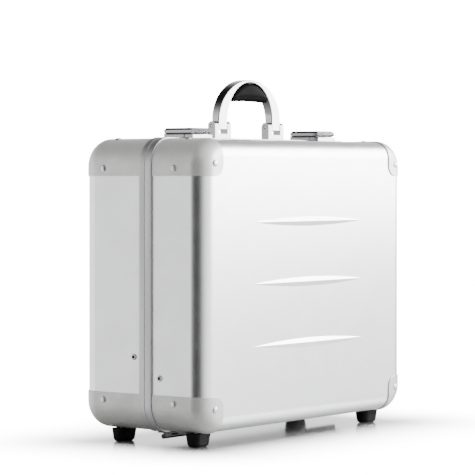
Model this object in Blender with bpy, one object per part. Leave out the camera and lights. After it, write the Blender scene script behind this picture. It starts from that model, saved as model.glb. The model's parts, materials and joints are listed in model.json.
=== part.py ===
"""Deep aluminium attache case, built as separate parts.

Frame: X runs along the case, -Y is the front face (the lid), +Z is up, and the origin lies on the
floor under the middle of the case. Sizes below are in millimetres; meshes are written in metres.
"""
import math

import bmesh
import bpy
from mathutils import Matrix, Vector

MM = 0.001
GAP = 0.3                      # running clearance between pieces that touch

# ---- shells -------------------------------------------------------------------------------------
CASE_LENGTH = 445.0            # X, over the end walls
CASE_HEIGHT = 360.0            # Z, over the top and bottom walls
LID_DEPTH = 90.5               # front face to parting plane
BASE_DEPTH = 102.5             # parting plane to back face
CORNER_RADIUS = 34.0           # big corners, seen from the front
EDGE_RADIUS = 19.5             # rounding between a face and its walls
WALL = 1.5
CORNER_STEPS = 6
EDGE_STEPS = 4

# ---- pressed ribs -------------------------------------------------------------------------------
RIB_LENGTH = 240.0
RIB_WIDTH = 12.0
RIB_RAISE = 3.2
RIB_HEIGHTS = (102.0, 180.0, 257.0)     # above the bottom wall
RIB_STATIONS = 9

# ---- edge frames --------------------------------------------------------------------------------
FRAME_PROUD = 2.8              # outside the shell wall
LID_STRIP = 9.7                # width of the lid frame in Y
BASE_STRIP = 9.0
FRAME_INNER = 4.0              # inside the shell's outer surface
FRAME_WEB = 3.2                # solid land at the parting plane
TONGUE_REACH = 4.0             # how far the lid frame's tongue enters the base
TONGUE_THICK = 1.5
GASKET_WIDTH = 1.6
GASKET_DEPTH = 1.0

# ---- corner caps --------------------------------------------------------------------------------
CAP_THICK = 1.0
CAP_REACH_Z = 45.5             # down the end wall, from the top or bottom wall
CAP_REACH_X = 37.0             # along the top or bottom wall, from the end wall
CAP_RIVET_HEAD = 3.4           # radius of the domed head
CAP_RIVET_RISE = 1.6
CAP_END_RIVET_Z = 36.0         # from the top or bottom wall
CAP_TOP_RIVET_X = 27.0         # from the end wall
CAP_FACE_RIVET_X = 21.0        # from the end wall
CAP_FACE_RIVET_Z = 30.0        # from the top or bottom wall
LID_RIVET_Y = 46.0             # from the front face
BASE_RIVET_Y = 36.0            # from the back face

# ---- feet ---------------------------------------------------------------------------------------
FOOT_HEIGHT = 18.5             # floor to the bottom wall
FOOT_LENGTH = 30.0
FOOT_WIDTH = 18.0
FOOT_TAPER = 1.8               # drawn in on each side at the tread
FOOT_RADIUS = 5.0
FOOT_FROM_END = 35.3
FOOT_SCREW_FROM_END = 31.0     # the screw goes through the corner cap too
FOOT_FROM_FRONT = 36.5
FOOT_FROM_BACK = 39.5
SCREW_RADIUS = 2.0
SCREW_HEAD_RADIUS = 3.6
SCREW_HEAD_HEIGHT = 2.4
FOOT_RECESS = 7.0              # depth of the counterbore in the tread

# ---- hinges -------------------------------------------------------------------------------------
HINGE_LENGTH = 65.0
HINGE_FROM_END = 34.5          # end wall to the hinge's outer end
KNUCKLE_RADIUS = 4.0
HINGE_PIN_RADIUS = 2.0
LEAF_THICK = 1.6
HINGE_DROP = FRAME_PROUD + LEAF_THICK + KNUCKLE_RADIUS + 2 * GAP    # bottom wall to the hinge axis
KNUCKLES = 5
LID_OPEN = 95.0                # degrees

# ---- handle -------------------------------------------------------------------------------------
HANDLE_Y = 3.8
PIVOT_RISE = 19.0              # above the top wall
BOW_HALF_SPAN = 67.5           # outer half width
BOW_RISE = 80.0                # top of the bow above the top wall
LEG_WIDTH = 18.0               # X, between the bracket ears
LEG_DEPTH = 11.5               # Y
BOW_DEPTH_GAIN = 3.5           # the bow is this much deeper in Y at its crown
BOW_CROWN_THICK = 3.5
LEG_STRAIGHT = 6.6             # straight run above the pivot
LEG_TAIL = 5.0                 # below the pivot
BOW_STEPS = 16
EAR_THICK = 7.7
BRACKET_DEPTH = 12.0
BRACKET_PLATE = 8.8
HANDLE_PIN_RADIUS = 2.0
GRIP_DEPTH = 18.0
GRIP_FROM_LEG = 8.0            # inner face of a leg to the tip of the grip
GRIP_HALF_LENGTH = BOW_HALF_SPAN - LEG_WIDTH - GRIP_FROM_LEG
GRIP_UNDER = 52.0              # underside of the grip above the top wall
GRIP_SAG = 1.6
GRIP_STEPS = 10

# ---- latches ------------------------------------------------------------------------------------
LATCH_X = 137.5
LATCH_WIDTH = 40.0
LATCH_LENGTH = 46.0
LATCH_HEIGHT = 12.8
CATCH_LAP = 0.2                # rear of the catch block past the lid strip's front edge
CATCH_LENGTH = LATCH_LENGTH / 2 - LID_STRIP + CATCH_LAP
SEAM_HEIGHT = 6.4              # top of the lower blocks above the top wall
SEAM_GAP = 0.5
LEVER_TIP = 4.5                # length of the lever's sloping ends
LATCH_PIN_RADIUS = 0.8
LATCH_LUG_RADIUS = 1.9
LATCH_LUG_WIDTH = 12.0
CLAW_WIDTH = 16.0
CLAW_THICK = 3.0
CLAW_DROP = 4.2
CLAW_BACK = 3.2                # catch block's rear face to the claw
CLAW_SWEEP = 1.5               # room in front of the claw as it swings out
SPRING_LENGTH = 14.0
SPRING_WIDTH = 8.0
SPRING_THICK = 0.6

# ---- lid stays ----------------------------------------------------------------------------------
STAY_BASE_POINT = (18.7, 90.9)     # behind the parting plane, above the bottom wall
STAY_LID_POINT = (-21.8, 66.4)
STAY_LINK = 80.0
STAY_WIDTH = 10.0
STAY_THICK = 2.0
STAY_FROM_FRAME = 1.2              # frame tongue to the outer link
STAY_RIVET_RADIUS = 2.0
STAY_HEAD_RADIUS = 3.8
STAY_HEAD_RISE = 1.4

# ---- linings ------------------------------------------------------------------------------------
LINING_THICK = 1.5

# ---- derived places -----------------------------------------------------------------------------
CASE_DEPTH = LID_DEPTH + BASE_DEPTH
FRONT_Y = -CASE_DEPTH / 2
BACK_Y = CASE_DEPTH / 2
PARTING_Y = FRONT_Y + LID_DEPTH
BOTTOM_Z = FOOT_HEIGHT
TOP_Z = BOTTOM_Z + CASE_HEIGHT
END_X = CASE_LENGTH / 2
MIDDLE_Z = BOTTOM_Z + CASE_HEIGHT / 2
HINGE_AXIS = Vector((0.0, PARTING_Y, BOTTOM_Z - HINGE_DROP))
HANDLE_AXIS = Vector((0.0, HANDLE_Y, TOP_Z + PIVOT_RISE))
LATCH_TOP = TOP_Z + LATCH_HEIGHT
LATCH_BACK_Y = PARTING_Y + LATCH_LENGTH / 2
LATCH_FRONT_Y = PARTING_Y - LATCH_LENGTH / 2
LATCH_PIN_Y = LATCH_BACK_Y - LATCH_LUG_RADIUS
LATCH_PIN_Z = LATCH_TOP - LATCH_LUG_RADIUS
TONGUE_OUTER = FRAME_INNER + GAP
TONGUE_INNER = TONGUE_OUTER + TONGUE_THICK
STAY_OUTER_X = END_X - TONGUE_INNER - STAY_FROM_FRAME
STAY_BASE = Vector((0.0, PARTING_Y + STAY_BASE_POINT[0], BOTTOM_Z + STAY_BASE_POINT[1]))
STAY_LID = Vector((0.0, PARTING_Y + STAY_LID_POINT[0], BOTTOM_Z + STAY_LID_POINT[1]))

SIDES = {"left": -1, "right": 1}
LEVELS = {"top": 1, "bottom": -1}


# ---- scene and material helpers -----------------------------------------------------------------
def clear_scene():
    """Remove every object that the file opened with."""
    for item in list(bpy.data.objects):
        bpy.data.objects.remove(item, do_unlink=True)


def material(name, colour, roughness, metallic):
    """A Principled material with plain values."""
    made = bpy.data.materials.new(name)
    made.use_nodes = True
    shader = made.node_tree.nodes["Principled BSDF"]
    shader.inputs["Base Color"].default_value = (*colour, 1.0)
    shader.inputs["Roughness"].default_value = roughness
    shader.inputs["Metallic"].default_value = metallic
    made.diffuse_color = (*colour, 1.0)
    return made


def add_object(name, mesh_data, finish, origin=(0.0, 0.0, 0.0), smooth=True):
    """Turn a bmesh in millimetres into an object whose origin sits at the given point."""
    bmesh.ops.recalc_face_normals(mesh_data, faces=mesh_data.faces)
    shift = Matrix.Translation(-Vector(origin))
    bmesh.ops.transform(mesh_data, matrix=Matrix.Scale(MM, 4) @ shift, verts=mesh_data.verts)
    mesh = bpy.data.meshes.new(name)
    mesh_data.to_mesh(mesh)
    mesh_data.free()
    mesh.materials.append(finish)
    if smooth:
        mesh.shade_smooth()
        mesh.set_sharp_from_angle(angle=math.radians(35))
    made = bpy.data.objects.new(name, mesh)
    made.location = Vector(origin) * MM
    bpy.context.scene.collection.objects.link(made)
    return made


def add_cutter(name, mesh_data):
    """A hidden helper solid that modifiers cut with or join on."""
    made = add_object(name, mesh_data, FINISH["steel"], smooth=False)
    made.hide_render = True
    made.display_type = "WIRE"
    return made


def combine(target, operation, mesh_data):
    """Cut a solid out of the target, or join it on, with an exact Boolean."""
    helper = add_cutter(f"{target.name}_{operation.lower()}_{len(target.modifiers)}", mesh_data)
    step = target.modifiers.new(helper.name, "BOOLEAN")
    step.operation = operation
    step.object = helper
    step.solver = "EXACT"


def cut(target, mesh_data):
    combine(target, "DIFFERENCE", mesh_data)


def join(target, mesh_data):
    combine(target, "UNION", mesh_data)


# ---- solid helpers, all in millimetres ----------------------------------------------------------
def loft(loops, closed=False):
    """Skin a row of point loops; closed joins the last loop to the first, else ends are capped."""
    made = bmesh.new()
    rows = [[made.verts.new(point) for point in loop] for loop in loops]
    count = len(rows[0])
    spans = len(rows) if closed else len(rows) - 1
    for index in range(spans):
        here = rows[index]
        there = rows[(index + 1) % len(rows)]
        for corner in range(count):
            after = (corner + 1) % count
            made.faces.new((here[corner], here[after], there[after], there[corner]))
    if not closed:
        made.faces.new(rows[0])
        made.faces.new(list(reversed(rows[-1])))
    return made


def merged(*parts):
    """Put several loose solids in one bmesh, for use as one cutter."""
    whole = bmesh.new()
    for part in parts:
        holder = bpy.data.meshes.new("holder")
        part.to_mesh(holder)
        part.free()
        whole.from_mesh(holder)
        bpy.data.meshes.remove(holder)
    return whole


def box(x0, x1, y0, y1, z0, z1):
    bottom = [(x0, y0, z0), (x1, y0, z0), (x1, y1, z0), (x0, y1, z0)]
    top = [(x, y, z1) for x, y, _ in bottom]
    return loft([bottom, top])


def rod(centre, axis, radius, start, end, steps=12):
    """A cylinder along X, Y or Z from start to end of that coordinate."""
    return turned(centre, axis, [(radius, start), (radius, end)], steps)


def turned(centre, axis, profile, steps=12):
    """A solid of revolution: profile holds (radius, place along the axis) pairs."""
    across = [index for index in range(3) if index != "XYZ".index(axis)]
    along = "XYZ".index(axis)
    loops = []
    for radius, place in profile:
        loop = []
        for step in range(steps):
            angle = math.tau * (step + 0.5) / steps
            point = list(centre)
            point[along] = place
            point[across[0]] += radius * math.cos(angle)
            point[across[1]] += radius * math.sin(angle)
            loop.append(tuple(point))
        loops.append(loop)
    return loft(loops)


def prism_x(outline, x0, x1):
    """Extrude a (y, z) outline along X."""
    return loft([[(x, y, z) for y, z in outline] for x in (x0, x1)])


def arc(centre, radius, start, end, steps):
    """Points on an arc, in degrees, both ends included."""
    points = []
    for step in range(steps + 1):
        angle = math.radians(start + (end - start) * step / steps)
        points.append((centre[0] + radius * math.cos(angle), centre[1] + radius * math.sin(angle)))
    return points


def case_outline(inset, y, steps=CORNER_STEPS):
    """The case's rounded outline in XZ, drawn in by inset, at depth y."""
    half_x = END_X - inset
    half_z = CASE_HEIGHT / 2 - inset
    radius = CORNER_RADIUS - inset
    points = []
    for quarter, (sign_x, sign_z) in enumerate(((1, 1), (-1, 1), (-1, -1), (1, -1))):
        centre = (sign_x * (half_x - radius), MIDDLE_Z + sign_z * (half_z - radius))
        points += arc(centre, radius, 90 * quarter, 90 * quarter + 90, steps)
    return [(x, y, z) for x, z in points]


def tray_loops(offset, open_y, face_y, steps=EDGE_STEPS):
    """Outlines from the open edge, up the wall and round the edge on to the face."""
    outward = 1 if face_y > open_y else -1
    radius = EDGE_RADIUS - offset
    surface_y = face_y - outward * offset
    loops = [case_outline(offset, open_y)]
    for inset, drop in arc((0, 0), radius, 0, 90, steps):
        loops.append(case_outline(offset + radius - inset, surface_y - outward * (radius - drop)))
    return loops


def tray(offset, thick, open_y, face_y):
    """An open tray whose outer surface lies offset inside the shell's surface."""
    outer = tray_loops(offset, open_y, face_y)
    inner = tray_loops(offset + thick, open_y, face_y)
    return loft(list(reversed(inner)) + outer)


# ---- parts --------------------------------------------------------------------------------------
def rib(face_y, outward, height):
    """One pressed rib: a long spindle that rises to a ridge at its middle."""
    loops = []
    for station in range(RIB_STATIONS):
        place = 2 * station / (RIB_STATIONS - 1) - 1
        swell = max(0.06, math.cos(place * math.pi / 2) ** 0.8)
        half = RIB_WIDTH / 2 * swell
        rise = RIB_RAISE * swell
        x = place * RIB_LENGTH / 2
        section = [(-half, -WALL / 2), (-half, 0), (-0.45 * half, 0.75 * rise), (0, rise),
                   (0.45 * half, 0.75 * rise), (half, 0), (half, -WALL / 2)]
        loops.append([(x, face_y + outward * up, height + across) for across, up in section])
    return loft(loops)


def foot_places(half):
    """The (x, y) centres of the two feet under one half of the case."""
    y = FRONT_Y + FOOT_FROM_FRONT if half == "lid" else BACK_Y - FOOT_FROM_BACK
    return {side: (sign * (END_X - FOOT_FROM_END), y) for side, sign in SIDES.items()}


def screw_places(half):
    """The (x, y) centres of the screws that hold one half's feet."""
    return {side: (SIDES[side] * (END_X - FOOT_SCREW_FROM_END), y)
            for side, (_, y) in foot_places(half).items()}


def stay_point(half):
    return STAY_LID if half == "lid" else STAY_BASE


def make_shell(half):
    """A pressed shell: a rounded tray with three ribs, and holes for stays and foot screws."""
    outward = -1 if half == "lid" else 1
    face_y = FRONT_Y if half == "lid" else BACK_Y
    open_y = PARTING_Y + outward * (FRAME_WEB + GAP)
    shell = add_object(f"{half}_shell", tray(0, WALL, open_y, face_y), FINISH["shell"])
    for height in RIB_HEIGHTS:
        join(shell, rib(face_y, outward, BOTTOM_Z + height))
    holes = [rod((x, y, 0), "Z", SCREW_RADIUS + GAP, BOTTOM_Z - WALL, BOTTOM_Z + 3 * WALL)
             for x, y in screw_places(half).values()]
    point = stay_point(half)
    for sign in SIDES.values():
        ends = sorted((sign * (END_X + WALL), sign * (END_X - 2 * WALL)))
        holes.append(rod(point, "X", STAY_RIVET_RADIUS + GAP, *ends))
    cut(shell, merged(*holes))


def make_lining(half):
    """A padded liner tray that covers the inside of a shell, up to its frame."""
    outward = -1 if half == "lid" else 1
    face_y = FRONT_Y if half == "lid" else BACK_Y
    strip = LID_STRIP if half == "lid" else BASE_STRIP
    open_y = PARTING_Y + outward * (strip + GAP)
    liner = add_object(f"{half}_lining", tray(WALL + GAP, LINING_THICK, open_y, face_y),
                       FINISH["lining"])
    holes = [rod((x, y, 0), "Z", SCREW_HEAD_RADIUS + GAP, BOTTOM_Z, BOTTOM_Z + 3 * WALL)
             for x, y in screw_places(half).values()]
    point = stay_point(half)
    for sign in SIDES.values():
        ends = sorted((sign * END_X, sign * (END_X - 5 * WALL)))
        holes.append(rod(point, "X", STAY_HEAD_RADIUS + GAP, *ends))
    cut(liner, merged(*holes))


def frame_ring(section):
    """Sweep a closed (inset, y) section round the case's outline."""
    return loft([case_outline(inset, y) for inset, y in section], closed=True)


def make_frames():
    """The two extruded edge frames: each grips its shell's rim, and the lid's has a tongue."""
    lid_face = PARTING_Y - GAP / 2
    lid_section = [(-FRAME_PROUD, PARTING_Y - LID_STRIP), (-FRAME_PROUD, lid_face),
                   (TONGUE_OUTER, lid_face), (TONGUE_OUTER, PARTING_Y + TONGUE_REACH),
                   (TONGUE_INNER, PARTING_Y + TONGUE_REACH), (TONGUE_INNER, PARTING_Y - LID_STRIP),
                   (WALL + GAP, PARTING_Y - LID_STRIP), (WALL + GAP, PARTING_Y - FRAME_WEB),
                   (-GAP, PARTING_Y - FRAME_WEB), (-GAP, PARTING_Y - LID_STRIP)]
    add_object("lid_frame", frame_ring(lid_section), FINISH["frame"])
    base_face = PARTING_Y + GAP / 2
    groove = GASKET_WIDTH / 2 + GAP
    floor = base_face + GASKET_DEPTH + GAP
    base_section = [(-FRAME_PROUD, PARTING_Y + BASE_STRIP), (-FRAME_PROUD, base_face),
                    (-groove, base_face), (-groove, floor), (groove, floor), (groove, base_face),
                    (FRAME_INNER, base_face), (FRAME_INNER, PARTING_Y + BASE_STRIP),
                    (WALL + GAP, PARTING_Y + BASE_STRIP), (WALL + GAP, PARTING_Y + FRAME_WEB),
                    (-GAP, PARTING_Y + FRAME_WEB), (-GAP, PARTING_Y + BASE_STRIP)]
    add_object("base_frame", frame_ring(base_section), FINISH["frame"])
    half = GASKET_WIDTH / 2
    seal = [(-half, base_face), (half, base_face),
            (half, base_face + GASKET_DEPTH), (-half, base_face + GASKET_DEPTH)]
    add_object("frame_gasket", frame_ring(seal), FINISH["rubber"])


def rivet_head(centre, normal, radius, rise, root):
    """A shallow dome that stands along the normal; root is how far it is sunk into the surface."""
    profile = [(radius, -root), (radius, 0.3 * rise), (0.72 * radius, 0.8 * rise), (0.3 * radius, rise)]
    head = turned((0, 0, 0), "Z", profile, steps=8)
    turn = Vector(normal).to_track_quat("Z", "Y").to_matrix().to_4x4()
    bmesh.ops.transform(head, matrix=Matrix.Translation(Vector(centre)) @ turn, verts=head.verts)
    return head


def make_cap(half, side, level):
    """A pressed corner cap that wraps the end wall, the top or bottom wall and the face.

    A top cap has three riveted points. A bottom cap has two, and the foot's screw is its third.
    """
    sign_x = SIDES[side]
    sign_z = LEVELS[level]
    outward = -1 if half == "lid" else 1
    face_y = FRONT_Y if half == "lid" else BACK_Y
    strip = LID_STRIP if half == "lid" else BASE_STRIP
    skin = GAP + CAP_THICK
    start_y = PARTING_Y + outward * (strip + GAP)
    radius = EDGE_RADIUS + skin

    def path(inset):
        """Points from the end wall round the corner, as distances in from the two walls."""
        corner = CORNER_RADIUS - inset
        bend = [(CORNER_RADIUS - across, CORNER_RADIUS - up)
                for across, up in arc((0, 0), corner, 0, 90, CORNER_STEPS)]
        return [(inset, CAP_REACH_Z)] + bend + [(CAP_REACH_X, inset)]

    def place(from_end, from_level, y):
        edge_z = MIDDLE_Z + sign_z * (CASE_HEIGHT / 2 - from_level)
        return (sign_x * (END_X - from_end), y, edge_z)

    rows = [[place(a, b, start_y) for a, b in path(-skin)]]
    for across, up in arc((0, 0), radius, 0, 90, EDGE_STEPS):
        y = face_y + outward * skin - outward * (radius - up)
        rows.append([place(a, b, y) for a, b in path(radius - skin - across)])
    sheet = bmesh.new()
    grid = [[sheet.verts.new(point) for point in row] for row in rows]
    for here, there in zip(grid, grid[1:]):
        for index in range(len(here) - 1):
            sheet.faces.new((here[index], here[index + 1], there[index + 1], there[index]))
    tab_radius = CAP_REACH_X - EDGE_RADIUS
    tab_centre = (EDGE_RADIUS, CAP_REACH_Z - tab_radius)
    tab = arc(tab_centre, tab_radius, 90, 0, EDGE_STEPS)[1:]
    rim = [sheet.verts.new(place(a, b, face_y + outward * skin)) for a, b in tab]
    sheet.faces.new(grid[-1] + list(reversed(rim)))
    bmesh.ops.recalc_face_normals(sheet, faces=sheet.faces)
    sheet.faces.ensure_lookup_table()
    if sheet.faces[-1].normal.y * outward < 0:
        bmesh.ops.reverse_faces(sheet, faces=sheet.faces)
    cap = add_sheet(f"cap_{half}_{side}_{level}", sheet, FINISH["cap"], CAP_THICK)

    rivet_y = FRONT_Y + LID_RIVET_Y if half == "lid" else BACK_Y - BASE_RIVET_Y
    from_centre = CORNER_RADIUS - CAP_TOP_RIVET_X
    to_wall = math.sqrt((CORNER_RADIUS + skin) ** 2 - from_centre ** 2)
    heads = [(place(-skin, CAP_END_RIVET_Z, rivet_y), (sign_x, 0, 0)),
             (place(CAP_FACE_RIVET_X, CAP_FACE_RIVET_Z, face_y + outward * skin), (0, outward, 0))]
    if level == "top":
        heads.append((place(CAP_TOP_RIVET_X, CORNER_RADIUS - to_wall, rivet_y),
                      (sign_x * from_centre, 0, sign_z * to_wall)))
    for centre, normal in heads:
        join(cap, rivet_head(centre, normal, CAP_RIVET_HEAD, CAP_RIVET_RISE, CAP_THICK / 2))
    if level == "bottom":
        x, y = screw_places(half)[side]
        cut(cap, rod((x, y, 0), "Z", SCREW_RADIUS + GAP, BOTTOM_Z - 3 * WALL, BOTTOM_Z + 3 * WALL))


def add_sheet(name, sheet, finish, thick):
    """An object whose surface is thickened inwards."""
    mesh = bpy.data.meshes.new(name)
    bmesh.ops.scale(sheet, vec=(MM, MM, MM), verts=sheet.verts)
    sheet.to_mesh(mesh)
    sheet.free()
    mesh.materials.append(finish)
    mesh.shade_smooth()
    mesh.set_sharp_from_angle(angle=math.radians(35))
    made = bpy.data.objects.new(name, mesh)
    bpy.context.scene.collection.objects.link(made)
    wall = made.modifiers.new("wall", "SOLIDIFY")
    wall.thickness = thick * MM
    wall.offset = -1
    wall.use_even_offset = True
    return made


def rounded_plan(x, y, length, width, radius, z):
    """A rounded rectangle in XY at height z."""
    points = []
    for quarter, (sign_x, sign_y) in enumerate(((1, 1), (-1, 1), (-1, -1), (1, -1))):
        centre = (x + sign_x * (length / 2 - radius), y + sign_y * (width / 2 - radius))
        points += arc(centre, radius, 90 * quarter, 90 * quarter + 90, 3)
    return [(px, py, z) for px, py in points]


def make_feet():
    """Tapered rubber feet, each stepped over its corner cap and held by a recessed screw."""
    cap_skin = CAP_THICK + 2 * GAP
    for half in ("lid", "base"):
        for side, (x, y) in foot_places(half).items():
            top = BOTTOM_Z - GAP
            loops = []
            for draw_in, z in ((FOOT_TAPER + 1.0, 0), (FOOT_TAPER, 1.0), (0, top)):
                loops.append(rounded_plan(x, y, FOOT_LENGTH - 2 * draw_in,
                                          FOOT_WIDTH - 2 * draw_in, FOOT_RADIUS, z))
            foot = add_object(f"foot_{half}_{side}", loft(loops), FINISH["rubber"])
            screw_x, _ = screw_places(half)[side]
            sign = SIDES[side]
            cap_edge = sign * (END_X - CAP_REACH_X - GAP)
            far_end = sign * END_X
            step_x = sorted((cap_edge, far_end))
            cut(foot, box(*step_x, y - FOOT_WIDTH, y + FOOT_WIDTH, BOTTOM_Z - cap_skin, BOTTOM_Z))
            bore = turned((screw_x, y, 0), "Z", [
                (SCREW_HEAD_RADIUS + 2 * GAP, -1.0), (SCREW_HEAD_RADIUS + 2 * GAP, FOOT_RECESS),
                (SCREW_RADIUS + GAP, FOOT_RECESS), (SCREW_RADIUS + GAP, BOTTOM_Z + 1.0)])
            cut(foot, bore)
            head_top = FOOT_RECESS - GAP
            tail = BOTTOM_Z + WALL + 1.2
            screw = turned((screw_x, y, 0), "Z", [
                (0.7 * SCREW_HEAD_RADIUS, head_top - SCREW_HEAD_HEIGHT),
                (SCREW_HEAD_RADIUS, head_top - 0.6 * SCREW_HEAD_HEIGHT),
                (SCREW_HEAD_RADIUS, head_top), (SCREW_RADIUS, head_top), (SCREW_RADIUS, tail)])
            add_object(f"foot_screw_{half}_{side}", screw, FINISH["steel"])


def make_hinges():
    """Two drop hinges under the parting plane: two leaves with interleaved knuckles, and a pin."""
    axis_z = HINGE_AXIS.z
    plate_top = BOTTOM_Z - FRAME_PROUD - GAP
    plate_bottom = plate_top - LEAF_THICK
    pitch = HINGE_LENGTH / KNUCKLES
    for side, sign in SIDES.items():
        low_x = sign * (END_X - HINGE_FROM_END)
        start = min(low_x, low_x - sign * HINGE_LENGTH)
        for half, outward, strip in (("base", 1, BASE_STRIP), ("lid", -1, LID_STRIP)):
            ys = sorted((PARTING_Y + outward * GAP, PARTING_Y + outward * (strip - GAP)))
            leaf = add_object(f"hinge_{side}_{half}_leaf",
                              box(start, start + HINGE_LENGTH, *ys, plate_bottom, plate_top),
                              FINISH["steel"])
            turns = range(1, KNUCKLES, 2) if half == "base" else range(0, KNUCKLES, 2)
            for turn in turns:
                x0 = start + turn * pitch + GAP / 2
                x1 = x0 + pitch - GAP
                web_y = sorted((PARTING_Y + outward * GAP, PARTING_Y + outward * KNUCKLE_RADIUS))
                join(leaf, box(x0, x1, *web_y, axis_z, plate_bottom + LEAF_THICK / 2))
                join(leaf, rod(HINGE_AXIS, "X", KNUCKLE_RADIUS, x0, x1))
            cut(leaf, rod(HINGE_AXIS, "X", HINGE_PIN_RADIUS + GAP, start - 1, start + HINGE_LENGTH + 1))
        pin = rod(HINGE_AXIS, "X", HINGE_PIN_RADIUS, start, start + HINGE_LENGTH)
        add_object(f"hinge_{side}_pin", pin, FINISH["steel"], origin=HINGE_AXIS)


def bow_section(x_outer, z_outer, x_inner, z_inner, half_depth):
    """Four corners of the bow's section at one station."""
    return [(x_outer, HANDLE_Y - half_depth, z_outer), (x_outer, HANDLE_Y + half_depth, z_outer),
            (x_inner, HANDLE_Y + half_depth, z_inner), (x_inner, HANDLE_Y - half_depth, z_inner)]


def make_handle():
    """The arched bow, its padded grip, and two clevis brackets with their pins."""
    spring_z = HANDLE_AXIS.z + LEG_STRAIGHT
    outer_rise = TOP_Z + BOW_RISE - spring_z
    inner_rise = outer_rise - BOW_CROWN_THICK
    outer_half = BOW_HALF_SPAN
    inner_half = BOW_HALF_SPAN - LEG_WIDTH
    half_leg = LEG_DEPTH / 2
    tail_z = HANDLE_AXIS.z - LEG_TAIL
    loops = [bow_section(outer_half, tail_z, inner_half, tail_z, half_leg * 0.6),
             bow_section(outer_half, tail_z + 2.5, inner_half, tail_z + 2.5, half_leg)]
    for step in range(BOW_STEPS + 1):
        angle = math.pi * step / BOW_STEPS
        depth = half_leg + BOW_DEPTH_GAIN / 2 * math.sin(angle)
        loops.append(bow_section(outer_half * math.cos(angle), spring_z + outer_rise * math.sin(angle),
                                 inner_half * math.cos(angle), spring_z + inner_rise * math.sin(angle),
                                 depth))
    loops.append(bow_section(-outer_half, tail_z + 2.5, -inner_half, tail_z + 2.5, half_leg))
    loops.append(bow_section(-outer_half, tail_z, -inner_half, tail_z, half_leg * 0.6))
    bow = add_object("handle_bow", loft(loops), FINISH["polished"], origin=HANDLE_AXIS)
    cut(bow, rod(HANDLE_AXIS, "X", HANDLE_PIN_RADIUS + GAP, -END_X, END_X))

    under_z = TOP_Z + GRIP_UNDER
    slices = []
    for y_share, lift, drop in ((-1, 7.0, 5.0), (-0.82, 2.2, 1.2), (-0.45, 0, 0), (0.45, 0, 0),
                                (0.82, 2.2, 1.2), (1, 7.0, 5.0)):
        top = []
        bottom = []
        for step in range(GRIP_STEPS + 1):
            share = 2 * step / GRIP_STEPS - 1
            x = share * (GRIP_HALF_LENGTH - 0.35 * lift)
            low = under_z + lift - GRIP_SAG * share * share
            high = spring_z + (inner_rise - GAP) * math.sqrt(1 - (x / (inner_half - GAP)) ** 2) - drop
            bottom.append((x, HANDLE_Y + y_share * GRIP_DEPTH / 2, low))
            top.append((x, HANDLE_Y + y_share * GRIP_DEPTH / 2, max(high, low + 0.8)))
        slices.append(bottom + list(reversed(top)))
    add_object("handle_grip", loft(slices), FINISH["grip"], origin=HANDLE_AXIS)

    gap_half = LEG_WIDTH / 2 + GAP
    half_width = gap_half + EAR_THICK
    y0 = HANDLE_Y - BRACKET_DEPTH / 2
    y1 = HANDLE_Y + BRACKET_DEPTH / 2
    plate_top = TOP_Z + BRACKET_PLATE
    ear_radius = BRACKET_DEPTH / 2
    for side, sign in SIDES.items():
        x = sign * (BOW_HALF_SPAN - LEG_WIDTH / 2)
        crown = arc((HANDLE_Y, HANDLE_AXIS.z), ear_radius, 0, 180, 8)
        outline = [(y0, TOP_Z + GAP), (y1, TOP_Z + GAP)] + crown
        bracket = add_object(f"handle_bracket_{side}",
                             prism_x(outline, x - half_width, x + half_width), FINISH["polished"])
        cut(bracket, box(x - gap_half, x + gap_half, y0 - 5, y1 + 5, plate_top, TOP_Z + BOW_RISE))
        cut(bracket, box(x - 50, x + 50, y0 - 5, PARTING_Y + BASE_STRIP + GAP,
                         TOP_Z - 5, TOP_Z + FRAME_PROUD + GAP))
        cut(bracket, rod((x, HANDLE_Y, HANDLE_AXIS.z), "X", HANDLE_PIN_RADIUS + GAP,
                         x - half_width - 5, x + half_width + 5))
        pin = rod((x, HANDLE_Y, HANDLE_AXIS.z), "X", HANDLE_PIN_RADIUS,
                  x - half_width + 0.5, x + half_width - 0.5)
        add_object(f"handle_pin_{side}", pin, FINISH["steel"], origin=(x, *HANDLE_AXIS[1:]))


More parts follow.
